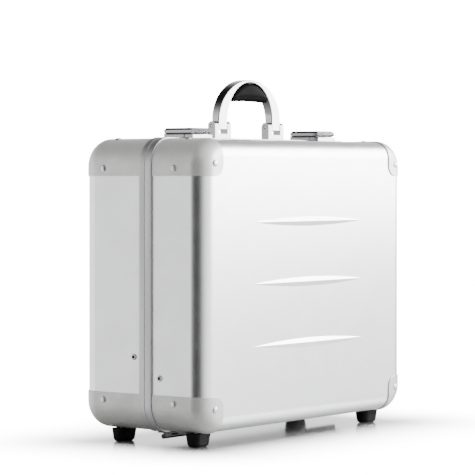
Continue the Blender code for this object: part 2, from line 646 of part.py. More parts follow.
def make_latch(side):
    """A flip latch: housing on the base, catch on the lid, lever with claw, pin and leaf spring."""
    x = SIDES[side] * LATCH_X
    x0 = x - LATCH_WIDTH / 2
    x1 = x + LATCH_WIDTH / 2
    foot_z = TOP_Z + GAP
    over_frame = TOP_Z + FRAME_PROUD + GAP
    seam_z = TOP_Z + SEAM_HEIGHT
    tip_z = LATCH_PIN_Z
    lever_z = seam_z + SEAM_GAP
    catch_back = LATCH_FRONT_Y + CATCH_LENGTH
    frame_back = PARTING_Y + BASE_STRIP + GAP
    axis_point = Vector((x, LATCH_PIN_Y, LATCH_PIN_Z))

    catch = add_object(f"latch_{side}_catch",
                       box(x0, x1, LATCH_FRONT_Y, catch_back - GAP, foot_z, seam_z),
                       FINISH["polished"])
    pocket_half = CLAW_WIDTH / 2 + GAP
    claw_y0 = catch_back - CLAW_BACK - CLAW_THICK
    claw_y1 = claw_y0 + CLAW_THICK
    claw_z = lever_z - CLAW_DROP
    cut(catch, box(x - pocket_half, x + pocket_half, claw_y0 - CLAW_SWEEP, catch_back + 1,
                   claw_z - 0.5, seam_z + 1))

    rear = LATCH_BACK_Y
    outline = [(catch_back + GAP, over_frame), (frame_back, over_frame), (frame_back, foot_z),
               (rear, foot_z), (rear, tip_z - LATCH_LUG_RADIUS - SEAM_GAP),
               (rear - 1.0, tip_z - LATCH_LUG_RADIUS - SEAM_GAP), (rear - LEVER_TIP, seam_z),
               (catch_back + GAP, seam_z)]
    housing = add_object(f"latch_{side}_housing", prism_x(outline, x0, x1), FINISH["polished"])
    lug_half = LATCH_LUG_WIDTH / 2
    join(housing, rod(axis_point, "X", LATCH_LUG_RADIUS, x - lug_half, x + lug_half))
    join(housing, box(x - lug_half, x + lug_half, LATCH_PIN_Y - 0.5, rear - 0.2,
                      seam_z - 1, LATCH_PIN_Z))
    cut(housing, rod(axis_point, "X", LATCH_PIN_RADIUS + GAP, x - lug_half - 5, x + lug_half + 5))
    spring_y = frame_back + 0.5
    well_floor = seam_z - 2.2
    cut(housing, box(x - SPRING_WIDTH / 2 - GAP, x + SPRING_WIDTH / 2 + GAP,
                     spring_y - SPRING_LENGTH - GAP, spring_y + GAP, well_floor, seam_z + 1))

    nose = [(LATCH_PIN_Y + LATCH_LUG_RADIUS * math.cos(a), LATCH_PIN_Z + LATCH_LUG_RADIUS * math.sin(a))
            for a in (math.radians(d) for d in (-60, -30, 0, 30, 60, 90))]
    lever_outline = [(LATCH_FRONT_Y + LEVER_TIP, lever_z), (rear - LEVER_TIP - SEAM_GAP, lever_z)]
    lever_outline += nose
    lever_outline += [(LATCH_FRONT_Y + LEVER_TIP * 0.7, LATCH_TOP), (LATCH_FRONT_Y, tip_z - 0.8)]
    lever = add_object(f"latch_{side}_lever", prism_x(lever_outline, x0, x1), FINISH["polished"],
                       origin=axis_point)
    cut(lever, box(x - lug_half - GAP, x + lug_half + GAP,
                   LATCH_PIN_Y - LATCH_LUG_RADIUS - 2 * GAP, rear + 1, lever_z - 1, LATCH_TOP + 1))
    cut(lever, rod(axis_point, "X", LATCH_PIN_RADIUS + GAP, x0 - 1, x1 + 1))

    claw = box(x - CLAW_WIDTH / 2, x + CLAW_WIDTH / 2, claw_y0, claw_y1, claw_z, lever_z - GAP)
    add_object(f"latch_{side}_claw", claw, FINISH["steel"], origin=axis_point)
    pin = rod(axis_point, "X", LATCH_PIN_RADIUS, x0 + 1, x1 - 1)
    add_object(f"latch_{side}_pin", pin, FINISH["steel"], origin=axis_point)
    make_leaf_spring(side, x, spring_y, well_floor + GAP, seam_z - GAP)


def make_leaf_spring(side, x, back_y, low_z, high_z):
    """A bowed leaf spring that lies in the housing's well under the lever."""
    loops = []
    for step in range(7):
        share = step / 6
        z = low_z + (high_z - low_z - SPRING_THICK) * math.sin(math.pi * share)
        y = back_y - SPRING_LENGTH * share
        loops.append([(x - SPRING_WIDTH / 2, y, z), (x + SPRING_WIDTH / 2, y, z),
                      (x + SPRING_WIDTH / 2, y, z + SPRING_THICK),
                      (x - SPRING_WIDTH / 2, y, z + SPRING_THICK)])
    add_object(f"latch_{side}_spring", loft(loops), FINISH["steel"])


def turn_about(point, pivot, degrees):
    """Turn a point about an X axis through the pivot."""
    return Matrix.Rotation(math.radians(degrees), 3, "X") @ (point - pivot) + pivot


def elbow(start, end):
    """Where two equal links meet, above the line from the base point to the lid point."""
    middle = (start + end) / 2
    reach = (end - start) / 2
    rise = math.sqrt(STAY_LINK ** 2 - reach.length ** 2)
    return middle + Matrix.Rotation(math.radians(-90), 3, "X") @ reach.normalized() * rise


def stay_ratios():
    """How far each link turns for each degree that the lid opens."""
    opened = turn_about(STAY_LID, HINGE_AXIS, LID_OPEN)
    shut_elbow = elbow(STAY_BASE, STAY_LID)
    open_elbow = elbow(STAY_BASE, opened)

    def heading(start, end):
        return math.degrees(math.atan2(end.z - start.z, end.y - start.y)) % 360

    lower = heading(STAY_BASE, open_elbow) - heading(STAY_BASE, shut_elbow)
    upper = heading(open_elbow, opened) - heading(shut_elbow, STAY_LID) - lower
    return lower / LID_OPEN, upper / LID_OPEN


def link(start, end, x0, x1):
    """A flat bar with round ends between two pivots, with a hole at the first."""
    along = (end - start).normalized()
    heading = math.degrees(math.atan2(along.z, along.y))
    half = STAY_WIDTH / 2
    outline = arc((start.y, start.z), half, heading + 90, heading + 270, 6)
    outline += arc((end.y, end.z), half, heading - 90, heading + 90, 6)
    return prism_x(outline, x0, x1)


def make_stay(side):
    """A folding stay in each end of the case: two links and three rivets."""
    sign = SIDES[side]

    def span(outer, inner):
        return sorted((sign * outer, sign * inner))

    bend = elbow(STAY_BASE, STAY_LID)
    lower_out = STAY_OUTER_X
    lower_in = lower_out - STAY_THICK
    upper_out = lower_in - 2 * GAP
    upper_in = upper_out - STAY_THICK
    hole = STAY_RIVET_RADIUS + GAP
    lower = add_object(f"stay_{side}_lower_link", link(STAY_BASE, bend, *span(lower_out, lower_in)),
                       FINISH["steel"], origin=STAY_BASE)
    upper = add_object(f"stay_{side}_upper_link", link(bend, STAY_LID, *span(upper_out, upper_in)),
                       FINISH["steel"], origin=bend)
    wide = span(lower_out + 5, upper_in - 5)
    cut(lower, merged(rod(STAY_BASE, "X", hole, *wide), rod(bend, "X", hole, *wide)))
    cut(upper, merged(rod(STAY_LID, "X", hole, *wide), rod(bend, "X", hole, *wide)))

    head = STAY_HEAD_RADIUS
    shank = STAY_RIVET_RADIUS
    dome = [(0.45 * head, END_X + GAP + STAY_HEAD_RISE), (0.8 * head, END_X + GAP + 0.8 * STAY_HEAD_RISE),
            (head, END_X + GAP), (shank, END_X + GAP)]
    tail_in = lower_in - GAP
    base_rivet = dome + [(shank, tail_in), (1.6 * shank, tail_in), (1.6 * shank, tail_in - 0.2)]
    lid_rivet = dome + [(shank, upper_out + GAP)]
    joint_out = lower_out + GAP
    joint_in = upper_in - GAP
    joint_rivet = [(1.6 * shank, joint_out + 0.6), (1.6 * shank, joint_out), (shank, joint_out),
                   (shank, joint_in), (1.6 * shank, joint_in), (1.6 * shank, joint_in - 0.8)]
    for name, centre, profile in (("base_rivet", STAY_BASE, base_rivet),
                                  ("lid_rivet", STAY_LID, lid_rivet),
                                  ("joint_rivet", bend, joint_rivet)):
        shape = turned(centre, "X", [(radius, sign * place) for radius, place in profile])
        add_object(f"stay_{side}_{name}", shape, FINISH["steel"], origin=centre)


def report_places():
    """Print the axes that the record states, in metres."""
    lower_ratio, upper_ratio = stay_ratios()
    bend = elbow(STAY_BASE, STAY_LID)
    for name, point in (("hinge", HINGE_AXIS), ("handle", HANDLE_AXIS), ("stay base", STAY_BASE),
                        ("stay bend", bend), ("stay lid", STAY_LID),
                        ("latch pin", Vector((LATCH_X, LATCH_PIN_Y, LATCH_PIN_Z)))):
        print(name, [round(value * MM, 6) for value in point])
    print("stay ratios", round(lower_ratio, 5), round(upper_ratio, 5))


def main():
    """Build every part."""
    for half in ("base", "lid"):
        make_shell(half)
        make_lining(half)
        for side in SIDES:
            for level in LEVELS:
                make_cap(half, side, level)
    make_frames()
    make_feet()
    make_hinges()
    make_handle()
    for side in SIDES:
        make_latch(side)
        make_stay(side)
    report_places()


clear_scene()
FINISH = {
    "shell": material("satin_aluminium", (0.80, 0.81, 0.82), 0.35, 1.0),
    "frame": material("extruded_aluminium", (0.72, 0.73, 0.74), 0.40, 1.0),
    "cap": material("grey_painted_cap", (0.55, 0.55, 0.54), 0.55, 0.3),
    "polished": material("polished_metal", (0.85, 0.85, 0.86), 0.12, 1.0),
    "steel": material("plated_steel", (0.60, 0.60, 0.62), 0.30, 1.0),
    "rubber": material("black_rubber", (0.02, 0.02, 0.02), 0.60, 0.0),
    "grip": material("black_grip", (0.015, 0.015, 0.016), 0.45, 0.0),
    "lining": material("dark_lining", (0.05, 0.05, 0.06), 0.90, 0.0),
}
main()
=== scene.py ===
"""Looks of a deep aluminium attache case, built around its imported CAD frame.

Each sub-assembly is a class that models its pieces on the bench and dresses them. Sizes are in
millimetres, X runs along the case, -Y is the lid's face and +Z is up; meshes are in metres.
"""
from __future__ import annotations

import json
import logging
import math
from dataclasses import dataclass, field
from enum import Enum
from typing import Callable

import bmesh
import bpy
from mathutils import Matrix, Vector

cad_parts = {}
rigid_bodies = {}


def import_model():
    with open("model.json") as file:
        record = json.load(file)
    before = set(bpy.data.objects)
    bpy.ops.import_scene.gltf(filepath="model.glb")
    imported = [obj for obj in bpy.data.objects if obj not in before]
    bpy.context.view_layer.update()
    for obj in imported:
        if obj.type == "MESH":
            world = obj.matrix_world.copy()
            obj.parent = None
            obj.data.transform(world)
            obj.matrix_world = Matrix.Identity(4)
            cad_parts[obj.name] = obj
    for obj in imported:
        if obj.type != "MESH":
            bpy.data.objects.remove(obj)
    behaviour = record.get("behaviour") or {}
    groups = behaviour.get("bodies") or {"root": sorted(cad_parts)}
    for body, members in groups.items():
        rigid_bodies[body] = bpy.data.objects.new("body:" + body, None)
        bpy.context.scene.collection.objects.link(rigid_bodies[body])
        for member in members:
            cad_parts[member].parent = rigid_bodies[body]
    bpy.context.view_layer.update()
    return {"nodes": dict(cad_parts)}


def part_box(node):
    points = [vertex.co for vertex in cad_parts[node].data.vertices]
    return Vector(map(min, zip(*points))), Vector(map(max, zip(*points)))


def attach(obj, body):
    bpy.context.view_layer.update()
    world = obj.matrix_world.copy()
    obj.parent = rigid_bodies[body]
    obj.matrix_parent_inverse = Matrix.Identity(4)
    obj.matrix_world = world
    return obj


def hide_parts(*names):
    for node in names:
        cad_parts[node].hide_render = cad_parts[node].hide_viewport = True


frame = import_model()
LOG = logging.getLogger("attache_case")
MM = 0.001
GAP = 0.3                      # running clearance between pieces, as in the CAD
WALL = 1.5                     # sheet of the shells
SIDES = {"left": -1, "right": 1}
LEVELS = {"top": 1, "bottom": -1}
MARKS_SCALE = 18.0             # scratches and smudges in a metre
STRAIGHT = 0.999               # share of an edge's length that has to run along its axis
CLEAR = 5.0                    # how far a cutting block reaches past a piece
DRILL = 60.0                   # length of a cutter that passes right through
Item = bmesh.types.BMVert | bmesh.types.BMEdge | bmesh.types.BMFace
Test = Callable[[Item], bool]


# ---- the bench ----------------------------------------------------------------------------------
def corners(item: Item) -> list[Vector]:
    """Corner points of a vertex, an edge or a face.

    Args:
        item: The mesh element.

    Returns:
        Its corner points, in millimetres.
    """
    if isinstance(item, bmesh.types.BMVert):
        return [item.co / MM]
    return [vertex.co / MM for vertex in item.verts]


def at(axis: str, value: float, reach: float = 0.03) -> Test:
    """Test for what lies wholly at one coordinate.

    Args:
        axis: The coordinate, "x", "y" or "z".
        value: Its value in millimetres.
        reach: How far off a corner may be.

    Returns:
        The test.
    """
    index = "xyz".index(axis)
    return lambda item: all(abs(corner[index] - value) < reach for corner in corners(item))


def along(axis: str) -> Test:
    """Test for edges that run along one axis.

    Args:
        axis: "x", "y" or "z".

    Returns:
        The test.
    """
    index = "xyz".index(axis)

    def test(item: Item) -> bool:
        """Says whether an edge runs along the axis."""
        step = corners(item)[1] - corners(item)[0]
        return abs(step[index]) > STRAIGHT * step.length > 0

    return test


def crosses(height: float) -> Test:
    """Test for edges with one end above a height and one end below it."""
    return lambda item: len({corner.z > height for corner in corners(item)}) == 2


def both(*tests: Test) -> Test:
    """One test that passes what every given test passes."""
    return lambda item: all(test(item) for test in tests)


def either(*tests: Test) -> Test:
    """One test that passes what any of the given tests passes."""
    return lambda item: any(test(item) for test in tests)


def everything(_: Item) -> bool:
    """Passes every element."""
    return True


class Workpiece:
    """One mesh on the bench, shaped with Blender's own operators, in millimetres."""

    def __init__(self, obj: bpy.types.Object) -> None:
        """Take hold of an object."""
        self.obj = obj

    @classmethod
    def _added(cls, name: str) -> Workpiece:
        """Name the primitive that was just added, and bake its place into its mesh.

        Args:
            name: The piece's name.

        Returns:
            The workpiece.
        """
        made = bpy.context.active_object
        made.name = name
        made.data.name = name
        bpy.ops.object.transform_apply(location=True, rotation=True, scale=True)
        return cls(made)

    @classmethod
    def block(cls, name: str, low: tuple[float, ...], high: tuple[float, ...]) -> Workpiece:
        """Start from a cube between two corners.

        Args:
            name: The piece's name.
            low: Lowest corner.
            high: Highest corner.

        Returns:
            The workpiece.
        """
        start, end = Vector(low) * MM, Vector(high) * MM
        put_down()
        bpy.ops.mesh.primitive_cube_add(size=1, location=(start + end) / 2, scale=end - start)
        return cls._added(name)

    @classmethod
    def rod(cls, name: str, middle: tuple[float, ...], axis: str, radii: tuple[float, float],
            length: float, sides: int = 32) -> Workpiece:
        """Start from a cylinder along one axis.

        Args:
            name: The piece's name.
            middle: Its centre.
            axis: "x", "y" or "z".
            radii: Its two radii across the axis, the first one in X where the axis isn't X.
            length: Its length.
            sides: Number of sides.

        Returns:
            The workpiece.
        """
        turn = {"x": (0, math.pi / 2, 0), "y": (math.pi / 2, 0, 0), "z": (0, 0, 0)}[axis]
        put_down()
        bpy.ops.mesh.primitive_cylinder_add(
            vertices=sides, radius=1, depth=1, location=Vector(middle) * MM, rotation=turn,
            scale=(radii[0] * MM, radii[1] * MM, length * MM))
        return cls._added(name)

    @classmethod
    def ball(cls, name: str, middle: tuple[float, ...], radii: tuple[float, ...]) -> Workpiece:
        """Start from a sphere, drawn out to three radii.

        Args:
            name: The piece's name.
            middle: Its centre.
            radii: Its radii in X, Y and Z.

        Returns:
            The workpiece.
        """
        put_down()
        bpy.ops.mesh.primitive_uv_sphere_add(segments=32, ring_count=16, radius=1,
                                             location=Vector(middle) * MM, scale=Vector(radii) * MM)
        return cls._added(name)

    @classmethod
    def from_node(cls, node: str, name: str = "") -> Workpiece:
        """Start from a merged copy of a CAD node's mesh.

        Args:
            node: The CAD node.
            name: The piece's name, or the node's own with "_fine" added.

        Returns:
            The workpiece.
        """
        name = name or f"{node}_fine"
        made = bpy.data.objects.new(name, frame["nodes"][node].data.copy())
        made.data.name = name
        made.data.materials.clear()
        bpy.context.scene.collection.objects.link(made)
        piece = cls(made)
        piece.edit("VERT", everything, lambda: bpy.ops.mesh.remove_doubles(threshold=0.005 * MM))
        piece.edit("FACE", everything, lambda: bpy.ops.mesh.customdata_custom_splitnormals_clear(),
                   lambda: bpy.ops.mesh.dissolve_limited(angle_limit=math.radians(0.5)))
        return piece

    def copy(self, name: str) -> Workpiece:
        """A second piece with its own mesh.

        Args:
            name: Its name.

        Returns:
            The copy.
        """
        made = self.obj.copy()
        made.data = self.obj.data.copy()
        made.name = name
        made.data.name = name
        bpy.context.scene.collection.objects.link(made)
        return Workpiece(made)

    def hold(self) -> None:
        """Make this the one selected and active object."""
        put_down()
        self.obj.select_set(True)
        bpy.context.view_layer.objects.active = self.obj

    def edit(self, kind: str, test: Test, *steps: Callable[[], object]) -> Workpiece:
        """Select by a test in edit mode, then run operators on what is selected.

        Args:
            kind: "VERT", "EDGE" or "FACE".
            test: Says which elements to select.
            steps: The operator calls.

        Returns:
            This workpiece.
        """
        self.hold()
        bpy.ops.object.mode_set(mode="EDIT")
        bpy.ops.mesh.select_mode(type=kind)
        bpy.ops.mesh.select_all(action="DESELECT")
        mesh = bmesh.from_edit_mesh(self.obj.data)
        for item in {"VERT": mesh.verts, "EDGE": mesh.edges, "FACE": mesh.faces}[kind]:
            if test(item):
                item.select_set(True)
        mesh.select_flush_mode()
        bmesh.update_edit_mesh(self.obj.data)
        for step in steps:
            step()
        bpy.ops.object.mode_set(mode="OBJECT")
        return self

    def bevel(self, test: Test, width: float, segments: int, corner: bool = False) -> Workpiece:
        """Round the edges, or the corners, that pass a test.

        Args:
            test: Says which edges or vertices.
            width: Radius of the rounding.
            segments: Number of steps in it.
            corner: True for vertices.

        Returns:
            This workpiece.
        """
        return self.edit("VERT" if corner else "EDGE", test, lambda: bpy.ops.mesh.bevel(
            offset=width * MM, segments=segments, profile=0.5, clamp_overlap=False,
            affect="VERTICES" if corner else "EDGES"))

    def delete(self, test: Test) -> Workpiece:
        """Delete the faces that pass a test."""
        return self.edit("FACE", test, lambda: bpy.ops.mesh.delete(type="FACE"))

    def bisect(self, point: tuple[float, ...], normal: tuple[float, ...],
               fill: bool = False) -> Workpiece:
        """Cut with a plane, and drop what lies on the side that its normal points to.

        Args:
            point: A point on the plane.
            normal: The plane's normal.
            fill: Close the cut with a face.

        Returns:
            This workpiece.
        """
        return self.edit("FACE", everything, lambda: bpy.ops.mesh.bisect(
            plane_co=Vector(point) * MM, plane_no=normal, use_fill=fill, clear_outer=True,
            threshold=1e-7))

    def resize(self, kind: str, test: Test, value: tuple[float, ...],
               centre: tuple[float, ...]) -> Workpiece:
        """Scale what passes a test about a centre.

        Args:
            kind: "VERT", "EDGE" or "FACE".
            test: Says what is scaled.
            value: Scale in X, Y and Z.
            centre: Point that stays put.

        Returns:
            This workpiece.
        """
        return self.edit(kind, test, lambda: bpy.ops.transform.resize(
            value=value, center_override=Vector(centre) * MM))

    def place(self, matrix: Matrix) -> Workpiece:
        """Move the mesh, and turn its faces outwards again after a mirror.

        Args:
            matrix: The move, in metres.

        Returns:
            This workpiece.
        """
        self.obj.data.transform(matrix)
        if matrix.determinant() < 0:
            self.obj.data.flip_normals()
        return self

    def mirrored(self, name: str, flip: tuple[int, int, int], about: float) -> Workpiece:
        """A mirrored copy.

        Args:
            name: The copy's name.
            flip: 1 or -1 for X, Y and Z.
            about: Height of the plane that a flip in Z mirrors in.

        Returns:
            The copy.
        """
        middle = Matrix.Translation((0, 0, about * MM))
        return self.copy(name).place(middle @ Matrix.Diagonal((*flip, 1)) @ middle.inverted())

    def modify(self, kind: str, **settings: object) -> Workpiece:
        """Add a modifier and apply it.

        Args:
            kind: Its type.
            settings: Its settings.

        Returns:
            This workpiece.
        """
        step = self.obj.modifiers.new(kind.lower(), kind)
        for key, value in settings.items():
            setattr(step, key, value)
        self.hold()
        bpy.ops.object.modifier_apply(modifier=step.name)
        return self

    def thicken(self, wall: float, outward: bool = False) -> Workpiece:
        """Give a sheet its wall, inwards or outwards, in millimetres."""
        return self.modify("SOLIDIFY", thickness=wall * MM, offset=1 if outward else -1,
                           use_even_offset=True)

    def soften(self, width: float, segments: int = 3, angle: float = 35) -> Workpiece:
        """Round every sharp edge.

        Args:
            width: Radius of the rounding, in millimetres.
            segments: Number of steps in it.
            angle: Edges sharper than this many degrees are rounded.

        Returns:
            This workpiece.
        """
        return self.modify("BEVEL", width=width * MM, segments=segments, limit_method="ANGLE",
                           angle_limit=math.radians(angle), use_clamp_overlap=True,
                           harden_normals=False)

    def boolean(self, operation: str, *tools: Workpiece) -> Workpiece:
        """Cut with, or join on, other workpieces, which are used up.

        Args:
            operation: "DIFFERENCE" or "UNION".
            tools: The other workpieces.

        Returns:
            This workpiece.
        """
        for tool in tools:
            self.modify("BOOLEAN", operation=operation, object=tool.obj, solver="EXACT")
            bpy.data.objects.remove(tool.obj, do_unlink=True)
        return self

    def cut(self, *tools: Workpiece) -> Workpiece:
        """Cut other workpieces out of this one."""
        return self.boolean("DIFFERENCE", *tools)

    def weld(self, *tools: Workpiece) -> Workpiece:
        """Join other workpieces on to this one."""
        return self.boolean("UNION", *tools)

    def gather(self, *others: Workpiece) -> Workpiece:
        """Put loose pieces into this object as separate bodies.

        Args:
            others: The loose pieces, which are used up.

        Returns:
            This workpiece.
        """
        self.hold()
        for other in others:
            other.obj.select_set(True)
        bpy.ops.object.join()
        return self

    def finish(self, body: str, dress: Finish, slot: str, *stands_for: str,
               smooth: float = 22) -> Workpiece:
        """Shade, dress and mount the piece.

        Args:
            body: The CAD body that it rides on.
            dress: Its finish.
            slot: The record's material slot; not used.
            stands_for: CAD nodes that it replaces.
            smooth: Edges sharper than this many degrees stay sharp.

        Returns:
            This workpiece.
        """
        self.hold()
        bpy.ops.object.shade_smooth_by_angle(angle=math.radians(smooth))
        self.modify("WEIGHTED_NORMAL", keep_sharp=True, weight=80)
        self.obj.data.materials.clear()
        self.obj.data.materials.append(dress.material())
        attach(self.obj, body)
        if stands_for:
            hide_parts(*stands_for)
        LOG.info("%s: %d faces", self.obj.name, len(self.obj.data.polygons))
        return self


def put_down() -> None:
    """Leave nothing selected on the bench."""
    for item in bpy.context.scene.objects:
        item.select_set(False)


def swell(pad: Workpiece, pressure: float, most: float, frames: int = 14,
          pinned: Test | None = None) -> None:
    """Blow a soft piece up with Blender's cloth, and keep the shape.

    Args:
        pad: The piece.
        pressure: Air pressure inside.
        most: Furthest that a point may move, in millimetres.
        frames: Length of the simulation.
        pinned: Says which vertices are held.
    """
    rest = [vertex.co.copy() for vertex in pad.obj.data.vertices]
    cloth = pad.obj.modifiers.new("cloth", "CLOTH")
    cloth.settings.use_pressure = True
    cloth.settings.uniform_pressure_force = pressure
    cloth.settings.effector_weights.gravity = 0
    cloth.settings.quality = 4
    if pinned:
        group = pad.obj.vertex_groups.new(name="held")
        mesh = bmesh.new()
        mesh.from_mesh(pad.obj.data)
        group.add([vertex.index for vertex in mesh.verts if pinned(vertex)], 1.0, "REPLACE")
        mesh.free()
        cloth.settings.vertex_group_mass = group.name
    for step in range(1, frames + 1):
        bpy.context.scene.frame_set(step)
    pad.hold()
    bpy.ops.object.modifier_apply(modifier=cloth.name)
    bpy.context.scene.frame_set(1)
    for vertex, start in zip(pad.obj.data.vertices, rest):
        step = vertex.co - start
        if step.length > most * MM:
            vertex.co = start + step.normalized() * most * MM


# ---- node sheets --------------------------------------------------------------------------------
class NodeSheet:
    """A node tree with short ways to add and wire nodes."""

    def __init__(self, tree: bpy.types.NodeTree) -> None:
        """Take hold of a node tree."""
        self.tree = tree

    def add(self, kind: str, wires: dict[str | int, object] | None = None,
            **settings: object) -> bpy.types.Node:
        """Add a node.

        Args:
            kind: Its type, without the ShaderNode prefix.
            wires: A value or a socket for each named or numbered input.
            settings: Its own settings.

        Returns:
            The node.
        """
        node = self.tree.nodes.new(f"ShaderNode{kind}")
        for key, value in settings.items():
            setattr(node, key, value)
        for key, value in (wires or {}).items():
            if isinstance(value, bpy.types.NodeSocket):
                self.tree.links.new(value, node.inputs[key])
            else:
                node.inputs[key].default_value = value
        return node

    def maths(self, operation: str, *terms: object, clamp: bool = False) -> bpy.types.NodeSocket:
        """A Math node's result for the given terms."""
        node = self.add("Math", dict(enumerate(terms)), operation=operation, use_clamp=clamp)
        return node.outputs[0]

    def ramp(self, value: object, low: float, high: float, to_low: float = 0.0,
             to_high: float = 1.0) -> bpy.types.NodeSocket:
        """A value spread smoothly from one range to another.

        Args:
            value: The value.
            low: Start of its range.
            high: End of its range.
            to_low: Result at the start.
            to_high: Result at the end.

        Returns:
            The result.
        """
        return self.add("MapRange", {"Value": value, "From Min": low, "From Max": high,
                                     "To Min": to_low, "To Max": to_high},
                        interpolation_type="SMOOTHSTEP").outputs[0]

    def noise(self, place: object, scale: float, detail: float = 2.0,
              roughness: float = 0.5) -> bpy.types.NodeSocket:
        """Noise between 0 and 1.

        Args:
            place: Where it is read.
            scale: Its scale.
            detail: Number of finer layers.
            roughness: Strength of the finer layers.

        Returns:
            The noise.
        """
        return self.add("TexNoise", {"Vector": place, "Scale": scale, "Detail": detail,
                                     "Roughness": roughness}).outputs["Fac"]

    def stretched(self, place: object, scale: tuple[float, float, float],
                  turn: tuple[float, float, float] = (0, 0, 0)) -> bpy.types.NodeSocket:
        """A place drawn out by a scale and turned."""
        return self.add("Mapping", {"Vector": place, "Scale": scale, "Rotation": turn}).outputs[0]

    def mix(self, share: object, low: object, high: object) -> bpy.types.NodeSocket:
        """A colour between two colours."""
        return self.add("Mix", {0: share, 6: low, 7: high}, data_type="RGBA").outputs[2]


class Effect(Enum):
    """Surface effects that several finishes share."""

    GRAIN = "surface_grain"
    HANDLING = "handling_marks"
    WEAVE = "woven_cloth"


def effect_group(effect: Effect) -> bpy.types.NodeTree:
    """The node group of a shared effect, built once.

    Args:
        effect: Which effect.

    Returns:
        The group.
    """
    found = bpy.data.node_groups.get(effect.value)
    if found:
        return found
    tree = bpy.data.node_groups.new(effect.value, "ShaderNodeTree")
    tree.interface.new_socket("Place", in_out="INPUT", socket_type="NodeSocketVector")
    tree.interface.new_socket("Scale", in_out="INPUT", socket_type="NodeSocketFloat")
    for name in ("Height", "Mask"):
        tree.interface.new_socket(name, in_out="OUTPUT", socket_type="NodeSocketFloat")
    sheet = NodeSheet(tree)
    given = tree.nodes.new("NodeGroupInput")
    result = tree.nodes.new("NodeGroupOutput")
    sized = sheet.add("VectorMath", {0: given.outputs["Place"], 3: given.outputs["Scale"]},
                      operation="SCALE").outputs[0]
    build = {Effect.GRAIN: grain_nodes, Effect.HANDLING: handling_nodes, Effect.WEAVE: weave_nodes}
    height, mask = build[effect](sheet, sized)
    tree.links.new(height, result.inputs["Height"])
    tree.links.new(mask, result.inputs["Mask"])
    return tree


Pair = tuple[bpy.types.NodeSocket, bpy.types.NodeSocket]


def grain_nodes(sheet: NodeSheet, place: bpy.types.NodeSocket) -> Pair:
    """Fine grain of a blasted or moulded surface, with slow clouds as its mask.

    Args:
        sheet: The group's nodes.
        place: Scaled place on the surface.

    Returns:
        Height and mask.
    """
    fine = sheet.noise(place, 1.0, detail=4.0, roughness=0.65)
    clouds = sheet.noise(place, 0.02, detail=3.0)
    return fine, sheet.ramp(clouds, 0.3, 0.7)


def handling_nodes(sheet: NodeSheet, place: bpy.types.NodeSocket) -> Pair:
    """Hairline scratches in two directions, and smudges from hands.

    Args:
        sheet: The group's nodes.
        place: Scaled place on the surface.

    Returns:
        Height of the scratches, and the smudges' mask.
    """
    lines = []
    for turn, stretch in ((0.5, (1.0, 30.0, 30.0)), (-0.9, (28.0, 28.0, 1.0))):
        drawn = sheet.stretched(place, stretch, (turn, turn, turn))
        lines.append(sheet.ramp(sheet.noise(drawn, 1.0, detail=1.0), 0.72, 0.80))
    scratches = sheet.maths("MAXIMUM", *lines)
    here = sheet.ramp(sheet.noise(place, 0.35), 0.52, 0.66)
    smudges = sheet.ramp(sheet.noise(place, 0.5, detail=5.0, roughness=0.7), 0.45, 0.75)
    return sheet.maths("MULTIPLY", scratches, here), smudges


def weave_nodes(sheet: NodeSheet, place: bpy.types.NodeSocket) -> Pair:
    """Plain-woven cloth: crossing rounded threads on all three axes.

    Args:
        sheet: The group's nodes.
        place: Scaled place on the surface.

    Returns:
        Height, and a mask of uneven thread.
    """
    split = sheet.add("SeparateXYZ", {0: place})
    waves = [sheet.maths("ABSOLUTE", sheet.maths("SINE", split.outputs[axis])) for axis in "XYZ"]
    height = sheet.maths("MULTIPLY", sheet.maths("ADD", waves[0], waves[1]), waves[2])
    height = sheet.maths("ADD", height, sheet.maths("MULTIPLY", waves[0], waves[1]))
    return height, sheet.noise(place, 0.3, detail=4.0)


# ---- finishes -----------------------------------------------------------------------------------
SHADE_GAIN = 2.5               # how strongly a finish's shade darkens its colour
SCRATCH_TINT = 0.55            # brightness of a scratch beside the surface round it
SMUDGE_GAIN = 0.25             # how strongly smudges roughen a finish


